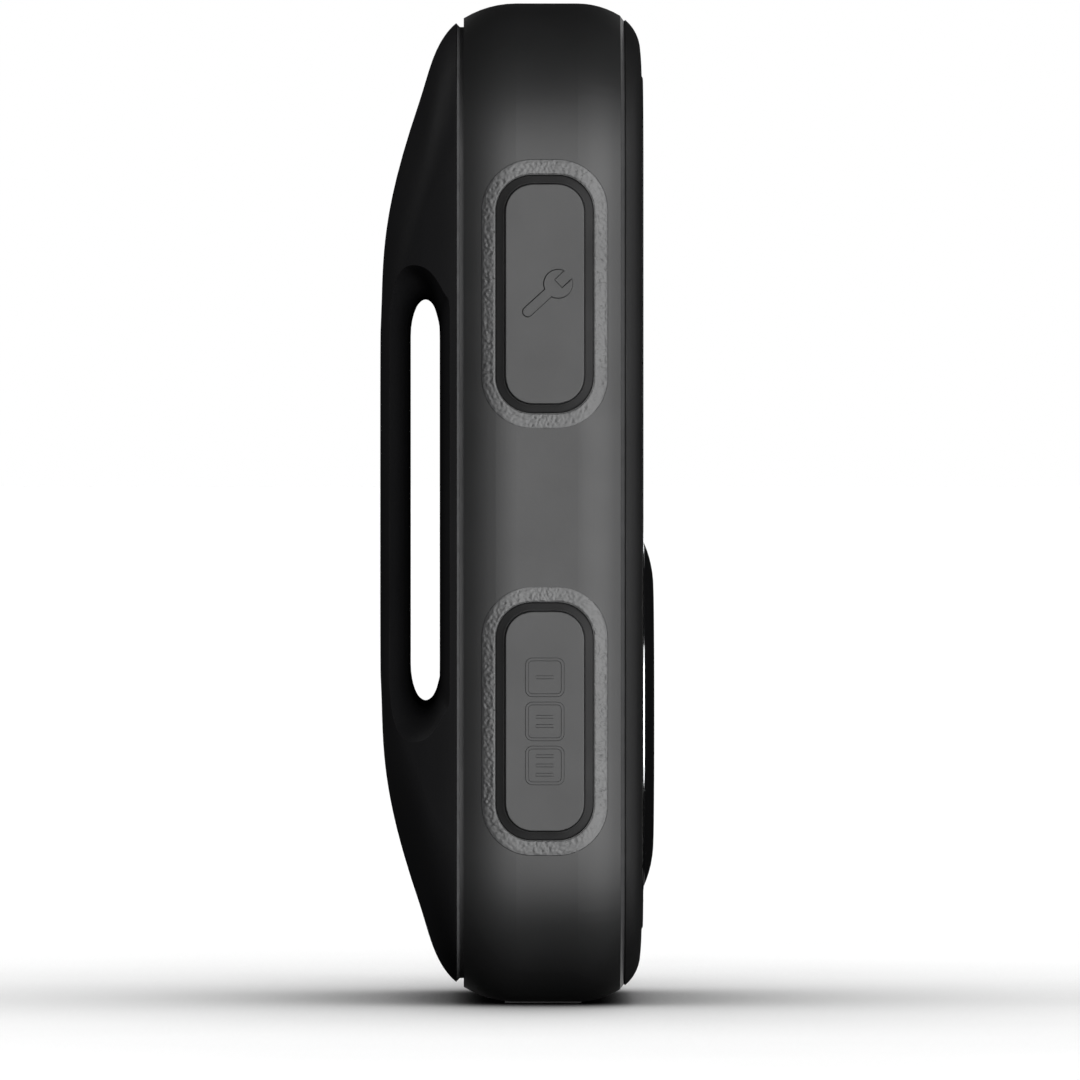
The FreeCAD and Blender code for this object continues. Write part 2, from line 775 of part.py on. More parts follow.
keep(compound("threaded_inserts", inserts))

# ---------------------------------------------------------------- front bezel, lens, mask

bezel = new_body("front_bezel")
swept_ring(
    bezel,
    [
        (half_w - c.bezel_back_inset, c.y_seam_front),
        (half_w - c.bezel_side_inset, c.bezel_side_y),
        (half_w - c.bezel_mid_inset, c.bezel_mid_y),
        (half_w - c.bezel_face_inset, c.bezel_face_y),
        (half_w - c.bezel_in_inset, c.bezel_face_y),
        (half_w - c.bezel_in_inset, c.y_seam_front),
    ],
    {1: (c.bezel_arc_r, -1), 2: (c.bezel_face_r, -1)},
)
pad(bezel, "XZ", [("rr", 0, c.mid_z, c.body_w - 2 * c.bezel_in_inset + 0.4, c.body_h - 2 * c.bezel_in_inset + 0.4, 5.2)], c.bezel_face_y, c.y_seam_front)
pad(bezel, "XZ", [("rr", 0, c.mid_z, c.cav_w - 0.2, c.cav_h - 0.2, c.cav_r - 0.1)], c.y_seam_front, c.bezel_plate_y)
pad(
    bezel,
    "XZ",
    [("rr", 0, c.mid_z, c.cav_w - 0.2, c.cav_h - 0.2, c.cav_r - 0.1), ("rr", 0, c.mid_z, c.cav_w - 2.0, c.cav_h - 2.0, c.cav_r - 1.0)],
    c.bezel_plate_y,
    c.bezel_lip_y,
)
lens_back = c.y_lens_face + c.lens_t
floor_y = lens_back + c.film_t
pocket(bezel, "XZ", [("rr", 0, c.mid_z, c.lens_w + 2 * c.lens_gap, c.lens_h + 2 * c.lens_gap, c.lens_r + c.lens_gap)], -9.4, floor_y)
pocket(bezel, "XZ", [("rr", 0, c.win_z, c.win_w, c.win_h, 1.2)], floor_y - 0.5, c.bezel_plate_y + 0.5)
pocket(bezel, "XZ", [("c", 0, c.pad_z, c.pad_hole_r)], floor_y - 0.5, c.bezel_plate_y + 0.5)
keep(bezel)

lens = new_body("front_lens")
pad(lens, "XZ", [("rr", 0, c.mid_z, c.lens_w, c.lens_h, c.lens_r), ("c", 0, c.pad_z, c.lens_hole_r)], lens_back, c.y_lens_face)
dress(lens, "Fillet", 0.3, lambda e: abs(e.BoundBox.YMin - c.y_lens_face.v) < 1e-3 and abs(e.BoundBox.YMax - c.y_lens_face.v) < 1e-3 and not (e.Curve.TypeId.endswith("Circle") and abs(e.Curve.Radius - c.lens_hole_r.v) < 1e-3))
keep(lens)

film = new_body("lens_mask_film")
pad(
    film,
    "XZ",
    [("rr", 0, c.mid_z, c.lens_w - 0.2, c.lens_h - 0.2, c.lens_r - 0.1), ("c", 0, c.pad_z, c.lens_hole_r), ("rr", 0, c.win_z, c.win_w - 1.0, c.win_h - 1.0, 1.0)],
    floor_y,
    lens_back,
)
keep(film)

# ---------------------------------------------------------------- display

lcd_w, lcd_h = 38.6, 29.4
lcd = keep(box("display_glass", -lcd_w / 2, lcd_w / 2, -7.15, -6.25, c.win_z - lcd_h / 2, c.win_z + lcd_h / 2))
light = keep(box("display_backlight", -lcd_w / 2 + 0.25, lcd_w / 2 - 0.25, -6.25, -5.35, c.win_z - lcd_h / 2 + 0.25, c.win_z + lcd_h / 2 - 0.25))
tray_out = box("tray_out", -lcd_w / 2, lcd_w / 2, -6.25, -5.15, c.win_z - lcd_h / 2, c.win_z + lcd_h / 2)
tray_in = box("tray_in", -lcd_w / 2 + 0.2, lcd_w / 2 - 0.2, -6.6, -5.35, c.win_z - lcd_h / 2 + 0.2, c.win_z + lcd_h / 2 - 0.2)
doc.recompute()
keep(cut("display_tray", tray_out, tray_in))

# ribbon from the display's lower edge back to the board
ribbon = new_body("display_ribbon")
zr = c.win_z.v - lcd_h / 2
pad(
    ribbon,
    "YZ",
    [
        (
            "p",
            [
                (-6.95, zr - 0.02), (-6.95, zr - 0.5), (-6.5, zr - 1.1), (-5.45, zr - 1.1), (-5.0, zr - 0.5), (-5.0, zr + 3.0),
                (-4.85, zr + 3.0), (-4.85, zr - 0.56), (-5.38, zr - 1.25), (-6.57, zr - 1.25), (-7.1, zr - 0.56), (-7.1, zr - 0.02),
            ],
        )
    ],
    -6.0,
    6.0,
)
keep(ribbon)

# ---------------------------------------------------------------- navigation pad

trim = new_body("pad_trim_ring")
pad(trim, "XZ", [("c", 0, c.pad_z, c.trim_out_r), ("c", 0, c.pad_z, c.trim_in_r)], floor_y, c.trim_top_y)
keep(trim)

# Each profile below is (radius, Y), turned about the pad's own axis through (0, pad_z).


def turned(label, points, arcs=None):
    """Solid of revolution about the pad axis, from (radius, Y) points."""
    b = new_body(label)
    sk = new_sketch(b, "XY", c.pad_z)
    profile(sk, points, arcs or {})
    f = b.newObject("PartDesign::Revolution", "Rev_" + label)
    f.Profile = sk
    f.ReferenceAxis = (sk, ["V_Axis"])
    f.Angle = 360.0
    doc.recompute()
    return b


nav = turned(
    "nav_pad",
    [
        (c.ok_hole_r, -9.70),
        (c.ok_hole_r, -7.45),
        (6.7, -7.45),
        (6.7, -6.9),
        (11.4, -6.9),
        (11.4, -6.45),
        (13.1, -6.45),
        (13.1, -6.75),
        (c.pad_r, -6.75),
        (c.pad_r, -9.20),
        (9.2, c.pad_top_y),
    ],
    {9: (8.1, -1), 10: (40.0, 1)},
)
# actuators over the four outer domes, and ears for the pivot pins
for dx, dz in ((8.6, 0), (-8.6, 0), (0, 8.6), (0, -8.6)):
    pad(nav, "XZ", [("c", dx, c.pad_z + dz, 1.1)], -7.0, -5.15)
for sx in (-1, 1):
    pad(nav, "XZ", [("rr", 5.95 * sx, c.pad_z, 1.1, 2.4, 0.3)], -7.6, -5.2)
pocket(nav, "YZ", [("c", -6.1, c.pad_z, 0.55)], 7.2, -7.2)
keep(nav)

ok = turned(
    "ok_key",
    [
        (0, -9.78),
        (0, -5.35),
        (1.2, -5.35),
        (1.2, -6.9),
        (2.4, -6.9),
        (2.4, -7.1),
        (4.95, -7.1),
        (4.95, -7.35),
        (c.ok_r, -7.35),
        (c.ok_r, -9.45),
        (4.1, -9.62),
    ],
    {9: (0.5, -1), 10: (53.0, -1)},
)
keep(ok)

# gimbal ring: pins along X carry the pad, pins along Z turn in the bracket
gim = new_body("nav_gimbal")
pad(gim, "XZ", [("c", 0, c.pad_z, 4.4), ("c", 0, c.pad_z, 2.9)], -6.55, -5.65)
pad(gim, "YZ", [("c", -6.1, c.pad_z, 0.5)], 3.6, 6.4)
pad(gim, "YZ", [("c", -6.1, c.pad_z, 0.5)], -3.6, -6.4)
pad(gim, "XY", [("c", 0, -6.1, 0.5)], c.pad_z + 3.6, c.pad_z + 6.0)
pad(gim, "XY", [("c", 0, -6.1, 0.5)], c.pad_z - 3.6, c.pad_z - 6.0)
keep(gim)

bracket = new_body("nav_bracket")
pad(bracket, "XZ", [("rr", 0, c.pad_z + 5.2, 4.0, 1.8, 0.4)], c.board_y_front, -4.9)
pad(bracket, "XZ", [("rr", 0, c.pad_z - 5.2, 4.0, 1.8, 0.4)], c.board_y_front, -4.9)
pad(bracket, "XZ", [("rr", -1.75, c.pad_z, 0.5, 11.0, 0.1)], c.board_y_front, -4.9)
pad(bracket, "XZ", [("rr", 1.75, c.pad_z, 0.5, 11.0, 0.1)], c.board_y_front, -4.9)
pad(bracket, "XZ", [("rr", 0, c.pad_z + 5.4, 1.9, 0.8, 0.1)], -4.85, -6.75)
pad(bracket, "XZ", [("rr", 0, c.pad_z - 5.4, 1.9, 0.8, 0.1)], -4.85, -6.75)
pocket(bracket, "XY", [("c", 0, -6.1, 0.55)], c.pad_z + 7.0, c.pad_z - 7.0)
keep(bracket)

domes = []
for i, (dx, dz) in enumerate(((0, 0), (8.6, 0), (-8.6, 0), (0, 8.6), (0, -8.6))):
    base = cylinder("dome_base_%d" % i, "y", dx, c.board_y_front - 0.3, c.pad_z + dz, 1.3 if i == 0 else 1.9, 0.3)
    doc.recompute()
    domes.append(
        round_edges("dome_%d" % i, base, 0.2, lambda e: e.Curve.TypeId.endswith("Circle") and abs(e.CenterOfMass.y - (c.board_y_front.v - 0.3)) < 1e-3)
    )
keep(compound("metal_domes", domes))

# ---------------------------------------------------------------- boards and parts on them

board = new_body("main_board")
pad(board, "XZ", [("rr", 0, c.mid_z, c.board_w, c.board_h, 6.0)], c.board_y_back, c.board_y_front)
keep(board)

can_out = box("can_out", -14.0, -1.5, c.board_y_back, -1.9, 52.3, 63.8)
can_in = box("can_in", -13.8, -1.7, -4.2, -2.1, 52.5, 63.6)
doc.recompute()
keep(cut("shield_can", can_out, can_in))
keep(box("processor", -11.5, -4.5, c.board_y_back, -2.7, 55.0, 62.0))
ant = box("antenna_block", 0.9, 12.6, c.board_y_back, -0.7, 52.15, 63.85)
doc.recompute()
keep(round_edges("gps_antenna", ant, 0.8, lambda e: along(e, Y)))

chips = []
for i, (x, z, w, h, t) in enumerate(
    ((15.2, 8.9, 3.6, 3.6, 0.9), (10.0, 12.3, 3.0, 1.6, 0.8), (6.6, 12.4, 1.6, 0.8, 0.6), (13.2, 11.6, 1.2, 2.0, 0.7), (-4.9, 13.0, 1.6, 0.8, 0.6), (6.2, 6.6, 1.0, 2.0, 0.7))
):
    chips.append(box("chip_%d" % i, x - w / 2, x + w / 2, c.board_y_back, c.board_y_back + t, z - h / 2, z + h / 2))
keep(compound("board_components", chips))
keep(cylinder("buzzer", "y", -14.6, c.board_y_back, 10.3, 3.4, 1.7))

# charging receptacle, standing on the board and opening towards +Y
recep = new_body("charge_receptacle")
pad(recep, "XZ", [("rr", 0, PORT_Z, 8.94, 3.16, 1.5)], c.board_y_back, 5.95)
pocket(recep, "XZ", [("rr", 0, PORT_Z, 8.34, 2.56, 1.2)], 5.95, -0.5)
pad(recep, "XZ", [("rr", 0, PORT_Z, 6.7, 0.7, 0.2)], -0.7, 5.0)
keep(recep)

# ---------------------------------------------------------------- battery

cell = box("cell_block", -c.bat_half_w, c.bat_half_w, c.bat_y_lo, c.bat_y_hi, c.bat_z_lo, c.bat_z_hi)
doc.recompute()
keep(round_edges("battery", cell, 1.6, lambda e: along(e, Z) or along(e, X)))
keep(box("battery_foam", -15.0, 15.0, 3.15, 4.1, 18.0, 48.0))
lead = new_body("battery_lead")
pad(lead, "YZ", [("p", [(-1.0, c.bat_z_hi + 0.02), (-1.0, 51.1), (-3.65, 51.1), (-3.65, 51.9), (-3.8, 51.9), (-3.8, 50.95), (-1.15, 50.95), (-1.15, c.bat_z_hi + 0.02)])], -3.0, 3.0)
keep(lead)

# ---------------------------------------------------------------- side keys
# A key is a cap in the frame's opening, with a flange inside the wall and a nub on its switch.

def on_outer_lip(e, z):
    """Edges of a seal's face that run along its outer outline."""
    b = e.BoundBox
    if abs(abs(b.XMin) - 24.5) > 1e-3 or abs(abs(b.XMax) - 24.5) > 1e-3:
        return False
    if e.Curve.TypeId.endswith("Circle"):
        return abs(e.Curve.Radius - (c.hole_r.v - 0.05)) < 1e-3
    return abs(abs(e.CenterOfMass.y - c.key_y.v) - (c.hole_w.v / 2 - 0.05)) < 1e-3 or abs(abs(e.CenterOfMass.z - z) - (c.hole_h.v / 2 - 0.05)) < 1e-3


KEYS = (("setup", -1, c.key_hi_z), ("mode", -1, c.key_lo_z), ("power", 1, c.key_hi_z), ("light", 1, c.key_lo_z))
for name, side, z in KEYS:
    key = new_body(name + "_key")
    s = float(side)
    pad(key, "YZ", [("rr", c.key_y, z, c.key_w, c.key_h, c.key_r)], c.flange_x_out * s, c.key_top_x * s)
    top = c.key_top_x.v
    dress(key, "Fillet", c.key_edge, lambda e: abs(abs(e.BoundBox.XMin) - top) < 1e-3 and abs(abs(e.BoundBox.XMax) - top) < 1e-3)
    pad(key, "YZ", [("rr", c.key_y, z, c.flange_w, c.flange_h, 1.6)], c.flange_x_in * s, c.flange_x_out * s)
    pad(key, "YZ", [("c", c.key_y, z, 1.0)], (c.flange_x_in + 0.1) * s, 20.95 * s)
    keep(key)

    seal = new_body(name + "_key_seal")
    pad(
        seal,
        "YZ",
        [("rr", c.key_y, z, c.hole_w - 0.10, c.hole_h - 0.10, c.hole_r - 0.05), ("rr", c.key_y, z, c.key_w + 0.06, c.key_h + 0.06, c.key_r + 0.03)],
        22.15 * s,
        24.5 * s,
    )
    # the lip slopes down to the edge of the opening
    dress(seal, "Chamfer", 0.2, lambda e: on_outer_lip(e, z.v), 0.5)
    keep(seal)

    plunger = cylinder(name + "_switch_plunger", "x", Q.of(-20.95) if side < 0 else Q.of(20.1), c.key_y, z, 0.9, 0.85)
    keep(plunger)

for tag, side in (("left", -1.0), ("right", 1.0)):
    sw = []
    for name, z in (("hi", c.key_hi_z), ("lo", c.key_lo_z)):
        b = new_body("%s_switch_%s" % (tag, name))
        pad(b, "YZ", [("rr", c.key_y, z, 3.2, 5.2, 0.3)], 18.9 * side, 20.5 * side)
        pocket(b, "YZ", [("c", c.key_y, z, 0.95)], 20.6 * side, 19.55 * side)
        sw.append(b)
    keep(compound(tag + "_switches", sw))
    kb = new_body(tag + "_key_board")
    pad(kb, "YZ", [("rr", c.key_y + 0.03, c.mid_z, 3.3, 47.5, 0.6)], 18.3 * side, 18.9 * side)
    keep(kb)

# ---------------------------------------------------------------- check and write

doc.recompute()
bad = []
for o in doc.Objects:
    if "Invalid" in o.State or "Error" in o.State:
        bad.append("%s is %s" % (o.Label, o.State))
for o in parts:
    if o.Shape.isNull() or not o.Shape.isValid() or not o.Shape.Solids:
        bad.append("%s has no valid solid" % o.Label)
if bad:
    raise RuntimeError("; ".join(bad))
os.makedirs("parts", exist_ok=True)
for o in parts:
    o.Shape.exportStep(os.path.join("parts", o.Label + ".step"))
    bb = o.Shape.BoundBox
    print("%-24s solids %d volume %9.2f  X %.2f..%.2f  Y %.2f..%.2f  Z %.2f..%.2f" % (
        o.Label, len(o.Shape.Solids), o.Shape.Volume, bb.XMin, bb.XMax, bb.YMin, bb.YMax, bb.ZMin, bb.ZMax))
print(len(parts), "parts written")
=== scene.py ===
import json
import math

import bmesh
import bpy
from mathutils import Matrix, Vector, noise
from mathutils.geometry import tessellate_polygon

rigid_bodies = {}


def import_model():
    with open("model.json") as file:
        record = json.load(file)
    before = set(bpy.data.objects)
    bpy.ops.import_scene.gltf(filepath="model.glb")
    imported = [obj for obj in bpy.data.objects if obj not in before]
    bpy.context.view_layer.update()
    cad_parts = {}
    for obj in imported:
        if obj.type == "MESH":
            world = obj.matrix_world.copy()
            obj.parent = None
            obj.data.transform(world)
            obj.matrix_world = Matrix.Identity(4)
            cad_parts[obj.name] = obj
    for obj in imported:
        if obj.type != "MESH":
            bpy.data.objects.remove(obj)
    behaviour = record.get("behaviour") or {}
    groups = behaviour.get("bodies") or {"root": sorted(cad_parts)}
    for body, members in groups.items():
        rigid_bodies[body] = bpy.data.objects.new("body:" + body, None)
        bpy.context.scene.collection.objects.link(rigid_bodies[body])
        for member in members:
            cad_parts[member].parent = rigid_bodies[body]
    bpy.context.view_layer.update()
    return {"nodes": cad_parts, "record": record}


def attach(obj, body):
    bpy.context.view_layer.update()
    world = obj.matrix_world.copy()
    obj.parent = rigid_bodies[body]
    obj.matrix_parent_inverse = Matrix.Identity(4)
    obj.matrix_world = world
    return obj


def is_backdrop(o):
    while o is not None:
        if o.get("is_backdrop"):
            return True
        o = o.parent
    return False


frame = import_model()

NODES = frame["nodes"]
MM = 0.001

# Sizes shared with the solid model, in millimetres.
MID_Z, BODY_H, BODY_W, CORNER_R = 36.05, 71.9, 49.0, 12.0
FLAT_LO, FLAT_HI, CROWN_BACK, CROWN_FRONT = -4.3, 0.1, 7.2, 5.85
KEY_Y, KEY_HI, KEY_LO, KEY_TOP = -1.93, 51.05, 20.5, 24.95
PAD_Z = 20.6
WIN_Z = 50.4

# ------------------------------------------------------------------ node helpers


class Tree:
    """A new material whose Principled shader is `p`."""

    def __init__(self, name):
        self.mat = bpy.data.materials.new(name)
        self.mat.use_nodes = True
        self.nt = self.mat.node_tree
        self.nt.nodes.clear()
        self.out = self.nt.nodes.new("ShaderNodeOutputMaterial")
        self.p = self.nt.nodes.new("ShaderNodeBsdfPrincipled")
        self.link(self.p.outputs["BSDF"], self.out.inputs["Surface"])
        self.coord = self.nt.nodes.new("ShaderNodeTexCoord")
        self.obj = self.coord.outputs["Object"]

    def link(self, a, b):
        self.nt.links.new(a, b)
        return b

    def node(self, kind, **values):
        n = self.nt.nodes.new(kind)
        for k, v in values.items():
            setattr(n, k, v)
        return n

    def noise(self, size_mm, detail=2.0, rough=0.5, stretch=None, seed=0.0):
        """Noise whose lumps are about size_mm across."""
        n = self.node("ShaderNodeTexNoise")
        n.noise_dimensions = "3D"
        n.inputs["Scale"].default_value = 1.0
        n.inputs["Detail"].default_value = detail
        n.inputs["Roughness"].default_value = rough
        m = self.node("ShaderNodeMapping")
        s = 1.0 / (size_mm * MM * 2.0)
        sx, sy, sz = stretch or (1, 1, 1)
        m.inputs["Scale"].default_value = (s * sx, s * sy, s * sz)
        m.inputs["Location"].default_value = (seed, seed * 1.7, seed * 0.6)
        self.link(self.obj, m.inputs["Vector"])
        self.link(m.outputs["Vector"], n.inputs["Vector"])
        return n.outputs["Fac"]

    def voronoi(self, size_mm, feature="F1"):
        n = self.node("ShaderNodeTexVoronoi")
        n.feature = feature
        m = self.node("ShaderNodeMapping")
        s = 1.0 / (size_mm * MM)
        m.inputs["Scale"].default_value = (s, s, s)
        n.inputs["Scale"].default_value = 1.0
        self.link(self.obj, m.inputs["Vector"])
        self.link(m.outputs["Vector"], n.inputs["Vector"])
        return n.outputs["Distance"]

    def remap(self, socket, lo, hi, to_lo, to_hi):
        n = self.node("ShaderNodeMapRange")
        n.clamp = True
        n.inputs["From Min"].default_value = lo
        n.inputs["From Max"].default_value = hi
        n.inputs["To Min"].default_value = to_lo
        n.inputs["To Max"].default_value = to_hi
        self.link(socket, n.inputs["Value"])
        return n.outputs["Result"]

    def math(self, op, a, b=None):
        n = self.node("ShaderNodeMath", operation=op)
        for i, v in enumerate((a, b)):
            if v is None:
                continue
            if isinstance(v, (int, float)):
                n.inputs[i].default_value = v
            else:
                self.link(v, n.inputs[i])
        return n.outputs[0]

    def mix(self, fac, a, b):
        n = self.node("ShaderNodeMix", data_type="RGBA")
        self.link(fac, n.inputs["Factor"]) if not isinstance(fac, (int, float)) else setattr(n.inputs["Factor"], "default_value", fac)
        for key, v in (("A", a), ("B", b)):
            sock = [s for s in n.inputs if s.name == key and s.type == "RGBA"][0]
            if isinstance(v, tuple):
                sock.default_value = (*v[:3], 1.0)
            else:
                self.link(v, sock)
        return [s for s in n.outputs if s.type == "RGBA"][0]

    def bump(self, height, distance_mm, strength=1.0, under=None):
        n = self.node("ShaderNodeBump")
        n.inputs["Distance"].default_value = distance_mm * MM
        n.inputs["Strength"].default_value = strength
        self.link(height, n.inputs["Height"])
        if under is not None:
            self.link(under, n.inputs["Normal"])
        return n.outputs["Normal"]

    def edges(self, radius_mm, samples=4):
        """1 near sharp outside edges, 0 on open surface."""
        b = self.node("ShaderNodeBevel", samples=samples)
        b.inputs["Radius"].default_value = radius_mm * MM
        g = self.node("ShaderNodeNewGeometry")
        d = self.node("ShaderNodeVectorMath", operation="DOT_PRODUCT")
        self.link(b.outputs["Normal"], d.inputs[0])
        self.link(g.outputs["Normal"], d.inputs[1])
        return self.remap(d.outputs["Value"], 0.80, 0.995, 1.0, 0.0)


def shade(c, k):
    return tuple(min(1.0, v * k) for v in c)


def plastic(name, colour, rough, grain_mm=0.12, grain_h=0.006, vary=0.08, rough_vary=0.05, ior=1.5, coat=0.0, coat_rough=0.2, wear=None, dust=0.0, spec=0.5):
    """Moulded plastic or rubber: fine grain, slow colour drift, handled patches and worn edges."""
    t = Tree(name)
    slow = t.noise(7.0, 3.0)
    patch = t.noise(2.2, 4.0, seed=3.1)
    fine = t.noise(grain_mm, 3.0, 0.6, seed=1.3)
    col = t.mix(t.remap(slow, 0.3, 0.7, 0.0, 1.0), shade(colour, 1 - vary), shade(colour, 1 + vary))
    if dust:
        speck = t.remap(t.noise(0.35, 2.0, seed=9.0), 0.66, 0.78, 0.0, dust)
        col = t.mix(speck, col, shade(colour, 1.8))
    if wear:
        worn = t.math("MULTIPLY", t.edges(wear[0]), t.remap(patch, 0.42, 0.66, 0.0, wear[1]))
        col = t.mix(worn, col, wear[2])
    t.link(col, t.p.inputs["Base Color"])
    r = t.remap(patch, 0.3, 0.7, rough - rough_vary, rough + rough_vary)
    t.link(r, t.p.inputs["Roughness"])
    n = t.bump(t.noise(0.9, 2.0, seed=5.0), grain_h * 0.6, 0.35)
    n = t.bump(fine, grain_h, 1.0, n)
    t.link(n, t.p.inputs["Normal"])
    t.p.inputs["IOR"].default_value = ior
    t.p.inputs["Specular IOR Level"].default_value = spec
    if coat:
        t.p.inputs["Coat Weight"].default_value = coat
        t.p.inputs["Coat Roughness"].default_value = coat_rough
    return t.mat


def metal(name, colour, rough, brush=None, grain_h=0.002, tarnish=(0.5, 0.45, 0.4), amount=0.15):
    t = Tree(name)
    patch = t.noise(1.6, 4.0, seed=2.0)
    fine = t.noise(0.06, 2.0, 0.5, brush or (1, 1, 1), seed=4.0)
    col = t.mix(t.remap(patch, 0.45, 0.75, 0.0, amount), colour, tarnish)
    t.link(col, t.p.inputs["Base Color"])
    t.p.inputs["Metallic"].default_value = 1.0
    t.link(t.remap(fine, 0.3, 0.7, rough * 0.75, rough * 1.3), t.p.inputs["Roughness"])
    t.link(t.bump(fine, grain_h), t.p.inputs["Normal"])
    return t.mat


def glass(name, rough=0.02, tint=(0.93, 0.96, 0.95)):
    t = Tree(name)
    smear = t.noise(5.0, 4.0, 0.6, (1, 1, 0.4), seed=7.0)
    t.p.inputs["Base Color"].default_value = (*tint, 1.0)
    t.p.inputs["Transmission Weight"].default_value = 1.0
    t.p.inputs["IOR"].default_value = 1.49
    t.link(t.remap(smear, 0.4, 0.75, rough, rough + 0.05), t.p.inputs["Roughness"])
    t.link(t.bump(t.noise(12.0, 1.0), 0.004, 0.3), t.p.inputs["Normal"])
    return t.mat


# ------------------------------------------------------------------ finishes

M = {}
M["frame_grey"] = plastic("frame_grey", (0.0115, 0.0117, 0.012), 0.50, grain_mm=0.10, grain_h=0.004, vary=0.05, rough_vary=0.025, wear=(0.12, 0.35, (0.05, 0.05, 0.05)))
M["halo_grey"] = plastic("halo_grey", (0.027, 0.0273, 0.028), 0.46, grain_mm=0.09, grain_h=0.006, vary=0.06, rough_vary=0.04, spec=0.72)
M["key_grey"] = plastic("key_grey", (0.0105, 0.0107, 0.011), 0.50, grain_mm=0.09, grain_h=0.003, vary=0.04, rough_vary=0.025, wear=(0.10, 0.4, (0.05, 0.05, 0.05)))
M["bezel_dark"] = plastic("bezel_dark", (0.0075, 0.0075, 0.0078), 0.48, grain_mm=0.08, grain_h=0.0018, vary=0.05, rough_vary=0.03, wear=(0.15, 0.4, (0.05, 0.05, 0.05)))
M["rubber_black"] = plastic("rubber_black", (0.006, 0.006, 0.0062), 0.62, grain_mm=0.07, grain_h=0.004, vary=0.10, dust=0.2, spec=0.25)
# silicone_grey is lighter than the frame so that the gasket, deep in its groove, reads as bright as the frame:
# painted light against the groove's shade
M["silicone_grey"] = plastic("silicone_grey", (0.02, 0.02, 0.0205), 0.6, grain_mm=0.08, grain_h=0.004)
M["pad_black"] = plastic("pad_black", (0.0065, 0.0065, 0.007), 0.17, grain_mm=0.3, grain_h=0.0006, vary=0.05, rough_vary=0.05, spec=0.08)
M["ok_dark"] = plastic("ok_dark", (0.020, 0.020, 0.022), 0.22, grain_mm=0.25, grain_h=0.0008, vary=0.05, rough_vary=0.05, coat=0.4, coat_rough=0.08)
M["mask_black"] = plastic("mask_black", (0.004, 0.004, 0.0045), 0.35, grain_mm=0.2, grain_h=0.0005)
M["trim_chrome"] = metal("trim_chrome", (0.80, 0.81, 0.82), 0.13, amount=0.05)
M["screw_black"] = metal("screw_black", (0.045, 0.045, 0.048), 0.38, tarnish=(0.12, 0.11, 0.10), amount=0.3)
M["insert_brass"] = metal("insert_brass", (0.72, 0.52, 0.22), 0.3)
M["bright_steel"] = metal("bright_steel", (0.62, 0.62, 0.63), 0.28, brush=(0.2, 1, 1))
M["polyimide"] = plastic("polyimide", (0.42, 0.16, 0.03), 0.3, grain_mm=0.3, grain_h=0.002, vary=0.15, coat=0.5, coat_rough=0.1)
M["board_green"] = plastic("board_green", (0.008, 0.07, 0.025), 0.3, grain_mm=0.25, grain_h=0.004, vary=0.2, coat=0.4, coat_rough=0.15)
M["chip_black"] = plastic("chip_black", (0.014, 0.014, 0.015), 0.5, grain_mm=0.06, grain_h=0.003)
M["ceramic"] = plastic("ceramic", (0.58, 0.48, 0.34), 0.5, grain_mm=0.1, grain_h=0.004, vary=0.12)
M["pouch_foil"] = metal("pouch_foil", (0.62, 0.63, 0.65), 0.34, grain_h=0.01, amount=0.1)
M["foam_black"] = plastic("foam_black", (0.02, 0.02, 0.02), 0.9, grain_mm=0.25, grain_h=0.08, vary=0.3, spec=0.1)
M["switch_body"] = plastic("switch_body", (0.03, 0.03, 0.03), 0.5)
M["plunger_white"] = plastic("plunger_white", (0.7, 0.68, 0.62), 0.4)
M["light_guide"] = plastic("light_guide", (0.8, 0.82, 0.8), 0.35, coat=0.3)
M["lens_clear"] = glass("lens_clear")


def lcd_material():
    """Reflective liquid-crystal cell: grey-green, with its fine pixel grid and a soft sheen."""
    t = Tree("lcd_glass")
    pitch = 0.21
    sep = t.node("ShaderNodeSeparateXYZ")
    t.link(t.obj, sep.inputs[0])
    lines = []
    for axis in ("X", "Z"):
        w = t.math("SINE", t.math("MULTIPLY", sep.outputs[axis], 2 * math.pi / (pitch * MM)))
        lines.append(t.remap(w, 0.80, 0.98, 0.0, 1.0))
    grid = t.math("MAXIMUM", lines[0], lines[1])
    base = t.mix(t.remap(t.noise(9.0, 2.0), 0.3, 0.7, 0.0, 1.0), (0.30, 0.335, 0.285), (0.34, 0.37, 0.315))
    col = t.mix(t.math("MULTIPLY", grid, 0.16), base, (0.12, 0.14, 0.12))
    t.link(col, t.p.inputs["Base Color"])
    t.link(t.remap(t.noise(0.2, 2.0), 0.3, 0.7, 0.34, 0.46), t.p.inputs["Roughness"])
    t.link(t.bump(grid, 0.004, 0.5), t.p.inputs["Normal"])
    t.p.inputs["Specular IOR Level"].default_value = 0.2
    return t.mat


def painted_highlight_line(m, lo, hi, colour):
    """Paints a pale line into a material's colour where Y passes from hi to lo: a painted highlight along a
    chamfer.
    """
    t = Tree.__new__(Tree)
    t.mat, t.nt = m, m.node_tree
    t.p = next(n for n in t.nt.nodes if n.type == "BSDF_PRINCIPLED")
    src = t.p.inputs["Base Color"].links[0].from_socket
    t.coord = t.node("ShaderNodeTexCoord")
    t.obj = t.coord.outputs["Object"]
    sep = t.node("ShaderNodeSeparateXYZ")
    t.link(t.obj, sep.inputs[0])
    line = t.remap(sep.outputs["Y"], lo * MM, hi * MM, 1.0, 0.0)
    # noise breaks up the painted highlight along its length
    highlight_vary = t.remap(t.noise(0.5, 3.0, seed=11.0), 0.3, 0.6, 0.75, 1.0)
    t.link(t.mix(t.math("MULTIPLY", line, highlight_vary), src, colour), t.p.inputs["Base Color"])
    return m
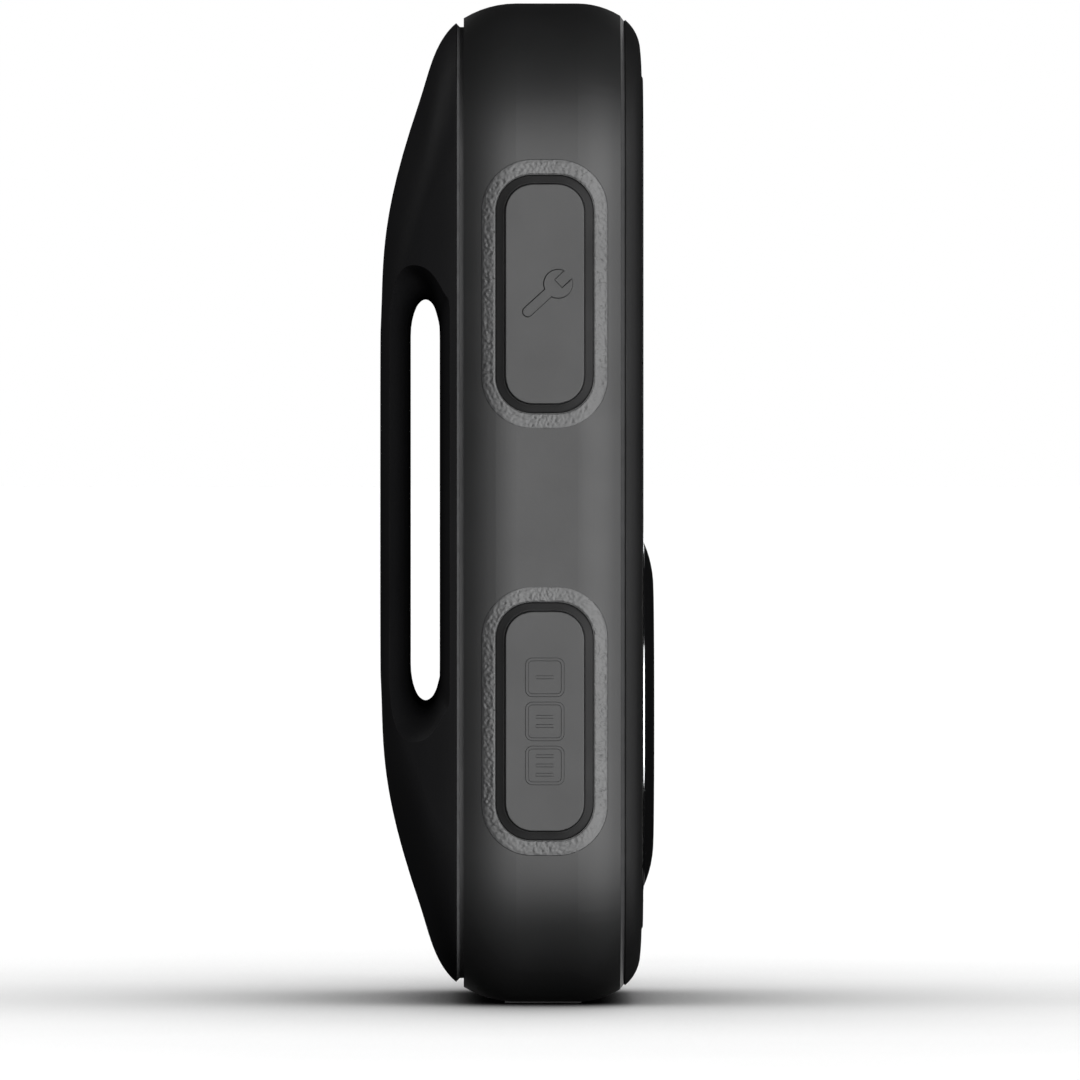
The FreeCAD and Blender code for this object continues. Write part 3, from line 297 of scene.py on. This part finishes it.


# the shell's chamfer at Y 4.32 to 4.37 gets a painted highlight line in its colour
M["shell_black"] = painted_highlight_line(
    plastic("shell_black", (0.0047, 0.0047, 0.005), 0.52, grain_mm=0.11, grain_h=0.005, vary=0.10, rough_vary=0.04, spec=0.02, wear=(0.2, 0.3, (0.012, 0.012, 0.0123))),
    4.32, 4.37, (0.085, 0.085, 0.087),
)
# the frame's front edge at Y -7.42 to -7.38 gets a painted highlight line in its colour
painted_highlight_line(M["frame_grey"], -7.42, -7.38, (0.042, 0.042, 0.043))
M["lcd_glass"] = lcd_material()
M["lcd_ink"] = plastic("lcd_ink", (0.006, 0.008, 0.011), 0.5, grain_mm=0.2, grain_h=0.0006, spec=0.1)
M["pad_mark"] = plastic("pad_mark", (0.34, 0.35, 0.36), 0.4, grain_mm=0.1, grain_h=0.001)

SLOT = {s["node"]: s["material_slot"] for s in frame["record"]["subparts"]}
for name, obj in NODES.items():
    obj.data.materials.clear()
    obj.data.materials.append(M[SLOT[name]])

# ------------------------------------------------------------------ mesh helpers


def new_object(name, verts, faces, material, body, smooth=True, recalc=True):
    me = bpy.data.meshes.new(name)
    me.from_pydata([tuple(c * MM for c in v) for v in verts], [], faces)
    me.validate()
    bm = bmesh.new()
    bm.from_mesh(me)
    if recalc:
        bmesh.ops.recalc_face_normals(bm, faces=bm.faces)
    bm.to_mesh(me)
    bm.free()
    for p in me.polygons:
        p.use_smooth = smooth
    o = bpy.data.objects.new(name, me)
    bpy.context.scene.collection.objects.link(o)
    me.materials.append(material)
    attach(o, body)
    return o


def crown_inset(y):
    """How far the frame's side has curved in from its widest, at depth y."""
    if y > FLAT_HI:
        return CROWN_BACK - math.sqrt(CROWN_BACK**2 - (y - FLAT_HI) ** 2)
    if y < FLAT_LO:
        return CROWN_FRONT - math.sqrt(CROWN_FRONT**2 - (FLAT_LO - y) ** 2)
    return 0.0


def frame_point(y, z, lift):
    """Point on the frame's side wall (X > 0) at (y, z), lifted off along the wall's normal."""
    i = crown_inset(y)
    zc = BODY_H / 2 - CORNER_R
    dz = abs(z - MID_Z) - zc
    slope = 0.0
    if y > FLAT_HI:
        slope = math.asin((y - FLAT_HI) / CROWN_BACK)
    elif y < FLAT_LO:
        slope = -math.asin((FLAT_LO - y) / CROWN_FRONT)
    if dz <= 0:
        x, nx, nz = BODY_W / 2 - i, 1.0, 0.0
    else:
        r = CORNER_R - i
        x = BODY_W / 2 - CORNER_R + math.sqrt(r * r - dz * dz)
        nx, nz = math.sqrt(1 - (dz / r) ** 2), dz / r * (1 if z > MID_Z else -1)
    c, s = math.cos(slope), math.sin(slope)
    return (x + lift * c * nx, y + lift * s, z + lift * c * nz)


def rr_points(hw, hh, r, side_n, end_n, arc_n):
    """Rounded rectangle, counter-clockwise, with the same number of points whatever its size."""
    pts = []
    for cx, cy, a0, n in ((hw - r, -(hh - r), 0, side_n), (hw - r, hh - r, 0, arc_n)):
        pass
    # right side up, corner, top leftwards, corner, left side down, corner, bottom rightwards, corner
    for k in range(side_n):
        pts.append((hw, -(hh - r) + 2 * (hh - r) * k / side_n))
    for k in range(arc_n):
        a = math.pi / 2 * k / arc_n
        pts.append((hw - r + r * math.cos(a), hh - r + r * math.sin(a)))
    for k in range(end_n):
        pts.append((hw - r - 2 * (hw - r) * k / end_n, hh))
    for k in range(arc_n):
        a = math.pi / 2 + math.pi / 2 * k / arc_n
        pts.append((-hw + r + r * math.cos(a), hh - r + r * math.sin(a)))
    for k in range(side_n):
        pts.append((-hw, hh - r - 2 * (hh - r) * k / side_n))
    for k in range(arc_n):
        a = math.pi + math.pi / 2 * k / arc_n
        pts.append((-hw + r + r * math.cos(a), -hh + r + r * math.sin(a)))
    for k in range(end_n):
        pts.append((-hw + r + 2 * (hw - r) * k / end_n, -hh))
    for k in range(arc_n):
        a = 1.5 * math.pi + math.pi / 2 * k / arc_n
        pts.append((hw - r + r * math.cos(a), -hh + r + r * math.sin(a)))
    return pts


def halo(name, side, z0):
    """Coarse-grained band moulded into the frame round a key, with real grain in its mesh."""
    rows = 17
    inner = rr_points(3.55, 8.56, 2.64, 200, 40, 64)
    outer = rr_points(4.53, 9.62, 3.66, 200, 40, 64)
    n = len(inner)
    verts, faces = [], []
    for j in range(rows):
        t = j / (rows - 1)
        for i in range(n):
            y = KEY_Y + inner[i][0] * (1 - t) + outer[i][0] * t
            z = z0 + inner[i][1] * (1 - t) + outer[i][1] * t
            e = min(1.0, t / 0.10, (1 - t) / 0.22)
            q = Vector((y * 4.3, z * 4.3, side * 3.0))
            g = 0.6 * noise.noise(q) + 0.4 * noise.noise(q * 1.9)
            lift = -0.003 + e * (0.026 + 0.062 * g)
            x, yy, zz = frame_point(y, z, lift)
            verts.append((side * x, yy, zz))
    for t in (1, 0):
        src = outer if t else inner
        for i in range(n):
            x, yy, zz = frame_point(KEY_Y + src[i][0], z0 + src[i][1], -0.06)
            verts.append((side * x, yy, zz))
    for j in range(rows + 1):
        for i in range(n):
            k = (i + 1) % n
            faces.append((j * n + i, j * n + k, (j + 1) * n + k, (j + 1) * n + i))
    last = (rows + 1) * n
    for i in range(n):
        k = (i + 1) % n
        faces.append((last + i, last + k, k, i))
    return new_object(name, verts, faces, M["halo_grey"], "case")


for nm, sd, zz in (("setup", -1, KEY_HI), ("mode", -1, KEY_LO), ("power", 1, KEY_HI), ("light", 1, KEY_LO)):
    halo(nm + "_key_halo", sd, zz)

# Low relief on flat faces. A drawing is in (right, up) as seen facing that side.


def side_map(kind, a0, z0, level):
    """Maps (right, up, height) on a face to millimetres in the frame."""
    if kind == "left":
        return lambda p, q, h: (-(level + h), a0 - p, z0 + q)
    if kind == "right":
        return lambda p, q, h: (level + h, a0 + p, z0 + q)
    return lambda p, q, h: (a0 + p, level - h, z0 + q)


def stroke(points, width, closed=False, bevel=0.035, height=0.05, sink=0.03):
    """Raised line of trapezoid section along 2-D points: (verts (p, q, h), faces)."""
    n = len(points)
    verts, faces = [], []
    for i in range(n):
        p = Vector(points[i])
        a = Vector(points[(i - 1) % n] if (closed or i) else points[i])
        b = Vector(points[(i + 1) % n] if (closed or i < n - 1) else points[i])
        d = b - a
        d = d.normalized() if d.length else Vector((1, 0))
        # widen at corners so that the line keeps its width
        k = 1.0
        if closed or 0 < i < n - 1:
            u, v = (p - a).normalized(), (b - p).normalized()
            k = 1.0 / max(0.5, math.sqrt(max(0.0, (1 + u.dot(v)) / 2)))
        m = Vector((-d.y, d.x)) * k
        for s, h in ((width / 2, -sink), (width / 2, 0.0), (width / 2 - bevel, height), (-width / 2 + bevel, height), (-width / 2, 0.0), (-width / 2, -sink)):
            w = p + m * s
            verts.append((w.x, w.y, h))
    for i in range(n if closed else n - 1):
        j = (i + 1) % n
        for s in range(6):
            r = (s + 1) % 6
            faces.append((i * 6 + s, j * 6 + s, j * 6 + r, i * 6 + r))
    if not closed:
        faces.append(tuple(range(6)))
        faces.append(tuple(range((n - 1) * 6, n * 6)))
    return verts, faces


def plateau(outline, bevel=0.05, height=0.05, sink=0.03):
    """Raised flat patch with bevelled edges, from a counter-clockwise outline."""
    n = len(outline)
    verts, faces = [], []
    for h, inset in ((-sink, 0.0), (0.0, 0.0), (height * 0.7, bevel * 0.35), (height, bevel)):
        for i in range(n):
            p, a, b = Vector(outline[i]), Vector(outline[i - 1]), Vector(outline[(i + 1) % n])
            u, v = (p - a).normalized(), (b - p).normalized()
            m = Vector((-(u.y + v.y), u.x + v.x))
            m = m.normalized() if m.length > 1e-6 else Vector((-u.y, u.x))
            k = 1.0 / max(0.45, math.sqrt(max(0.0, (1 + u.dot(v)) / 2)))
            w = p + m * inset * k
            verts.append((w.x, w.y, h))
    for r in range(3):
        for i in range(n):
            j = (i + 1) % n
            faces.append((r * n + i, r * n + j, (r + 1) * n + j, (r + 1) * n + i))
    for start in (0, 3 * n):
        ring = [Vector((x, y, 0.0)) for x, y, h in verts[start:start + n]]
        faces += [tuple(start + k for k in t) for t in tessellate_polygon([ring])]
    return verts, faces


def join(shapes):
    verts, faces = [], []
    for v, f in shapes:
        k = len(verts)
        verts += v
        faces += [tuple(i + k for i in face) for face in f]
    return verts, faces


def relief(name, shapes, mapping, material, body, smooth=False):
    verts, faces = join(shapes)
    me_verts = [mapping(*v) for v in verts]
    o = new_object(name, me_verts, faces, material, body, smooth=smooth)
    bm = bmesh.new()
    bm.from_mesh(o.data)
    bmesh.ops.triangulate(bm, faces=[f for f in bm.faces if len(f.verts) > 4], ngon_method="EAR_CLIP")
    bm.to_mesh(o.data)
    bm.free()
    return o


def arc(cx, cy, r, a0, a1, n):
    return [(cx + r * math.cos(math.radians(a0 + (a1 - a0) * k / n)), cy + r * math.sin(math.radians(a0 + (a1 - a0) * k / n))) for k in range(n + 1)]


def turned(points, degrees, cx=0.0, cy=0.0):
    c, s = math.cos(math.radians(degrees)), math.sin(math.radians(degrees))
    return [(cx + p * c - q * s, cy + p * s + q * c) for p, q in points]


def spanner():
    """Open-ended spanner along +p with its jaw at the origin."""
    R, hw, jaw, deep, long = 1.07, 0.40, 0.36, 0.05, 3.35
    a_jaw = math.degrees(math.asin(jaw / R))
    a_neck = 180 - math.degrees(math.asin(hw / R))
    pts = [(deep, -jaw), (deep, jaw)]
    pts += arc(0, 0, R, a_jaw, a_neck, 26)
    pts += arc(-long + hw, 0, hw, 90, 270, 12)
    pts += arc(0, 0, R, 360 - a_neck, 360 - a_jaw, 26)
    return pts  # counter-clockwise


left_hi = side_map("left", KEY_Y, KEY_HI, KEY_TOP)
left_lo = side_map("left", KEY_Y, KEY_LO, KEY_TOP)
right_hi = side_map("right", KEY_Y, KEY_HI, KEY_TOP)
right_lo = side_map("right", KEY_Y, KEY_LO, KEY_TOP)

relief("setup_key_mark", [plateau(turned(spanner(), 42.5, 0.95, 0.72), bevel=0.08, height=0.1)], left_hi, M["key_grey"], "setup_key")


def page(cy, bars):
    """One screen page: a rounded outline with bars in it."""
    out = [stroke(rr_points(1.28, 1.28, 0.4, 1, 1, 6), 0.24, closed=True)]
    for k in range(bars):
        q = (bars - 1) * 0.33 - 0.66 * k
        out.append(stroke([(-0.62, q), (0.62, q)], 0.24))
    return [([(p, q + cy, h) for p, q, h in v], f) for v, f in out]


relief("mode_key_mark", [s for k, cy in enumerate((3.15, 0.0, -3.15)) for s in page(cy, k + 1)], left_lo, M["key_grey"], "mode_key")
relief(
    "power_key_mark",
    [stroke(arc(0, 0, 1.35, 125, 415, 40), 0.26), stroke([(0, 0.2), (0, 1.75)], 0.26)],
    right_hi, M["key_grey"], "power_key",
)
rays = [stroke([(0.95 * math.cos(a), 0.95 * math.sin(a)), (1.5 * math.cos(a), 1.5 * math.sin(a))], 0.22) for a in [math.pi / 4 * k for k in range(8)]]
relief("light_key_mark", [stroke(arc(0, 0, 0.6, 0, 360, 28)[:-1], 0.22, closed=True)] + rays, right_lo, M["key_grey"], "light_key")

# ------------------------------------------------------------------ display

SEG = {"0": "abcdef", "1": "bc", "2": "abged", "3": "abgcd", "4": "fgbc", "5": "afgcd", "6": "afgedc", "7": "abc", "8": "abcdefg", "9": "abcdfg"}


def digit(ch, x, y, w, h, t):
    """Seven-segment numeral with its lower left corner at (x, y)."""
    g = t * 0.12
    ym = y + h / 2

    def bar(x0, x1, yc):
        k = t / 2
        return [(x0 + g, yc), (x0 + g + k, yc - k), (x1 - g - k, yc - k), (x1 - g, yc), (x1 - g - k, yc + k), (x0 + g + k, yc + k)]

    def post(xc, y0, y1):
        k = t / 2
        return [(xc, y0 + g), (xc + k, y0 + g + k), (xc + k, y1 - g - k), (xc, y1 - g), (xc - k, y1 - g - k), (xc - k, y0 + g + k)]

    l, r, b, u = x + t / 2, x + w - t / 2, y + t / 2, y + h - t / 2
    shapes = {"a": bar(l, r, u), "g": bar(l, r, ym), "d": bar(l, r, b), "f": post(l, ym, u), "b": post(r, ym, u), "e": post(l, b, ym), "c": post(r, b, ym)}
    slant = 0.09
    return [plateau([(p + (q - y) * slant, q) for p, q in shapes[s]], bevel=0.01, height=0.02, sink=0.01) for s in SEG[ch]]


def number(text, x, y, w, h, t, gap):
    out = []
    for ch in text:
        if ch == ".":
            out.append(plateau(rr_at(x + t * 0.5, y + t / 2, t * 0.5, t * 0.5, t * 0.15), bevel=0.01, height=0.02, sink=0.01))
            x += t + gap
        elif ch == ":":
            for q in (0.3, 0.7):
                out.append(plateau(rr_at(x + t * 0.5 + h * q * 0.09, y + h * q, t * 0.45, t * 0.45, t * 0.15), bevel=0.01, height=0.02, sink=0.01))
            x += t + gap
        else:
            out += digit(ch, x, y, w, h, t)
            x += w + gap
    return out, x


def rr_at(cx, cy, hw, hh, r):
    return [(p + cx, q + cy) for p, q in rr_points(hw, hh, r, 1, 1, 4)]


def flat_line(points, width, closed=False):
    return stroke(points, width, closed, bevel=0.01, height=0.02, sink=0.01)


ink = []
ink += number("28.6", -9.6, -3.6, 6.6, 12.2, 1.55, 1.0)[0]
ink += number("10:42", -16.2, 9.6, 1.6, 2.7, 0.36, 0.35)[0]
ink += number("36.4", -15.6, -11.2, 2.5, 4.2, 0.55, 0.5)[0]
ink += number("1:27", 2.6, -11.2, 2.5, 4.2, 0.55, 0.5)[0]
# battery, signal and field lines
ink.append(flat_line(rr_at(14.3, 10.95, 1.75, 0.95, 0.25), 0.22, closed=True))
ink.append(plateau(rr_at(16.35, 10.95, 0.2, 0.42, 0.1), bevel=0.01, height=0.02, sink=0.01))
for k in range(3):
    ink.append(plateau(rr_at(13.2 + 0.95 * k, 10.95, 0.34, 0.6, 0.08), bevel=0.01, height=0.02, sink=0.01))
for k, r in enumerate((0.7, 1.35, 2.0)):
    ink.append(flat_line(arc(8.6, 10.0, r, 50, 130, 14), 0.3))
ink.append(plateau(rr_at(8.6, 10.0, 0.24, 0.24, 0.1), bevel=0.01, height=0.02, sink=0.01))
ink.append(flat_line([(-17.2, 8.9), (17.2, 8.9)], 0.16))
ink.append(flat_line([(-17.2, -5.3), (17.2, -5.3)], 0.16))
ink.append(flat_line([(0.0, -5.9), (0.0, -12.3)], 0.16))
# small route arrow beside the large field
ink.append(plateau([(-13.6, 4.4), (-15.4, -0.8), (-13.6, 0.4), (-11.8, -0.8)], bevel=0.01, height=0.02, sink=0.01))
relief("display_segments", ink, side_map("front", 0.0, WIN_Z, -7.15), M["lcd_ink"], "case")

# ------------------------------------------------------------------ pad marks


def pad_level(r):
    """Y of the pad's dished face at radius r."""
    ax, ay, bx, by, R = 9.2, -9.886, 4.75, -9.70, 40.0
    mx, my = (ax + bx) / 2, (ay + by) / 2
    dx, dy = bx - ax, by - ay
    L = math.hypot(dx, dy)
    h = math.sqrt(R * R - L * L / 4)
    # the face is hollow, so its centre lies in front of it
    cx, cy = mx + dy / L * h, my - dx / L * h
    if cy > my:
        cx, cy = mx - dy / L * h, my + dx / L * h
    return cy + math.sqrt(R * R - (r - cx) ** 2)


tri = [(0.0, 0.62), (-0.72, -0.42), (0.72, -0.42)]
marks = []
for k in range(4):
    a = 90 * k
    marks.append(plateau([(p, q) for p, q in turned(tri, a - 90 + 90)], bevel=0.06, height=0.04, sink=0.08))
for k in range(4):
    a = math.radians(90 * k + 90)
    v, f = marks[k]
    marks[k] = ([(p + 7.2 * math.cos(a), q + 7.2 * math.sin(a), h) for p, q, h in v], f)


def pad_map(p, q, h):
    return (p, pad_level(math.hypot(p, q)) - h, PAD_Z + q)


relief("pad_arrows", marks, pad_map, M["pad_mark"], "nav_pad")
relief("ok_dot", [stroke(arc(0, 0, 0.85, 0, 360, 36)[:-1], 0.26, closed=True, height=0.03)], side_map("front", 0.0, PAD_Z, -9.775), M["pad_mark"], "ok_key")

# ------------------------------------------------------------------ floor, light, camera

scene = bpy.context.scene


def floor_material():
    t = Tree("studio_floor")
    col = t.mix(t.remap(t.noise(40.0, 3.0), 0.3, 0.7, 0.0, 1.0), (0.86, 0.86, 0.86), (0.90, 0.90, 0.90))
    # painted shadow: ambient occlusion darkens the floor's colour where the object stands close over it, a little
    # more than the light alone
    ao = t.node("ShaderNodeAmbientOcclusion")
    ao.samples = 12
    ao.inputs["Distance"].default_value = 0.25
    col = t.mix(t.math("POWER", ao.outputs["AO"], 1.5), (0.0, 0.0, 0.0), col)
    t.link(col, t.p.inputs["Base Color"])
    t.p.inputs["Roughness"].default_value = 0.9
    t.p.inputs["Specular IOR Level"].default_value = 0.0
    t.link(t.bump(t.noise(0.6, 2.0), 0.01, 0.2), t.p.inputs["Normal"])
    return t.mat


bm = bmesh.new()
bmesh.ops.create_grid(bm, x_segments=24, y_segments=24, size=6.0)
me = bpy.data.meshes.new("studio_floor")
bm.to_mesh(me)
bm.free()
floor = bpy.data.objects.new("studio_floor", me)
scene.collection.objects.link(floor)
me.materials.append(floor_material())
floor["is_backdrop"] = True
floor.visible_glossy = False
floor.visible_diffuse = False

floor_only = bpy.data.collections.new("floor_only")
scene.collection.children.link(floor_only)
scene.collection.objects.unlink(floor)
floor_only.objects.link(floor)
others = bpy.data.collections.new("object_only")
scene.collection.children.link(others)


def aim(obj, target):
    d = Vector(target) - obj.location
    obj.rotation_euler = d.to_track_quat("-Z", "Y").to_euler()


def softbox(name, azimuth, elevation, distance, width, height, radiance, only=None):
    """Area light facing the object. Azimuth 0 is on the -X side and 90 on the -Y side."""
    light = bpy.data.lights.new(name, "AREA")
    light.shape = "RECTANGLE"
    light.size, light.size_y = width, height
    light.energy = radiance * math.pi * width * height
    o = bpy.data.objects.new(name, light)
    scene.collection.objects.link(o)
    a, e = math.radians(azimuth), math.radians(elevation)
    o.location = Vector((-math.cos(a) * math.cos(e), -math.sin(a) * math.cos(e), math.sin(e))) * distance + Vector((0, 0, 0.036))
    aim(o, (0, 0, 0.036))
    o.visible_camera = False
    if only:
        o.light_linking.receiver_collection = only
    return o


OBJECT = bpy.data.collections.new("lit_object")
NOT_PAD = bpy.data.collections.new("lit_but_pad")
PAD_ONLY = bpy.data.collections.new("lit_pad")
BACK = bpy.data.collections.new("lit_back")
MIDDLE = bpy.data.collections.new("lit_middle")
for o in bpy.data.objects:
    if o.type == "MESH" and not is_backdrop(o):
        OBJECT.objects.link(o)
        (PAD_ONLY if o.name in ("nav_pad", "pad_trim_ring") else NOT_PAD).objects.link(o)
        if o.name in ("back_shell", "port_flap", "case_screws"):
            BACK.objects.link(o)
        elif o.name not in ("front_bezel", "front_lens", "nav_pad", "pad_trim_ring", "ok_key"):
            MIDDLE.objects.link(o)

# One broad soft light in front of the left side, brightest in its middle.
softbox("key_outer", 18, 0, 0.62, 1.45, 1.15, 1.7, OBJECT)
softbox("key_middle", 23, 0, 0.60, 0.85, 0.76, 2.0, OBJECT)
softbox("key_inner", 26, 0, 0.58, 0.42, 0.42, 1.75, OBJECT)
# A soft front light that leaves the glossy pad alone, and fills for the far side and the back.
softbox("front_soft", 98, 0, 0.65, 0.5, 0.6, 0.48, NOT_PAD)
softbox("pad_rim", 180, 42, 0.8, 0.5, 0.55, 3.0, PAD_ONLY)
softbox("pad_rim_low", 180, -36, 0.8, 0.5, 0.3, 1.3, PAD_ONLY)
softbox("back_soft", -90, 38, 0.7, 0.6, 0.6, 5.5, BACK)
softbox("far_side", 146, 0, 0.8, 0.5, 0.75, 1.6, MIDDLE)
softbox("far_side_back", -150, 0, 0.8, 0.5, 0.75, 1.0, MIDDLE)


def floor_sun(name, elevation, angle, share):
    """Sun that lights only the floor. Elevation 0 comes from the +X side, 90 from overhead."""
    light = bpy.data.lights.new(name, "SUN")
    light.angle = math.radians(angle)
    e = math.radians(elevation)
    light.energy = 3.72 * share / math.sin(e)
    o = bpy.data.objects.new(name, light)
    scene.collection.objects.link(o)
    o.location = (math.cos(e), 0, math.sin(e))
    aim(o, (0, 0, 0))
    o.light_linking.receiver_collection = floor_only


floor_sun("floor_sky", 90, 180, 0.30)
floor_sun("floor_sun_a", 35, 60, 0.27)
floor_sun("floor_sun_b", 142, 60, 0.27)
floor_sun("floor_sun_c", 17, 28, 0.07)
floor_sun("floor_sun_d", 163, 28, 0.09)

world = bpy.data.worlds.new("studio")
scene.world = world
world.use_nodes = True
wt = world.node_tree
wt.nodes.clear()
wo = wt.nodes.new("ShaderNodeOutputWorld")
mixn = wt.nodes.new("ShaderNodeMixShader")
lp = wt.nodes.new("ShaderNodeLightPath")
soft = wt.nodes.new("ShaderNodeBackground")
soft.inputs["Color"].default_value = (1, 1, 1, 1)
soft.inputs["Strength"].default_value = 0.006
white = wt.nodes.new("ShaderNodeBackground")
white.inputs["Color"].default_value = (1, 1, 1, 1)
white.inputs["Strength"].default_value = 1.0
wt.links.new(lp.outputs["Is Camera Ray"], mixn.inputs["Fac"])
wt.links.new(soft.outputs[0], mixn.inputs[1])
wt.links.new(white.outputs[0], mixn.inputs[2])
wt.links.new(mixn.outputs[0], wo.inputs["Surface"])
scene.view_settings.view_transform = "Standard"

# The camera looks at the -X side from 1.6 m, a little above the middle.
cam = bpy.data.cameras.new("camera")
cam_o = bpy.data.objects.new("camera", cam)
scene.collection.objects.link(cam_o)
AIM = (0.0, -0.00166, 0.03325)
cam_o.location = (-1.6, 0.003, 0.047)
aim(cam_o, AIM)
cam.sensor_width = 36.0
cam.lens = 36.0 * 1579.0 / 77.37
cam.clip_start = 0.05
cam.clip_end = 50.0
scene.camera = cam_o
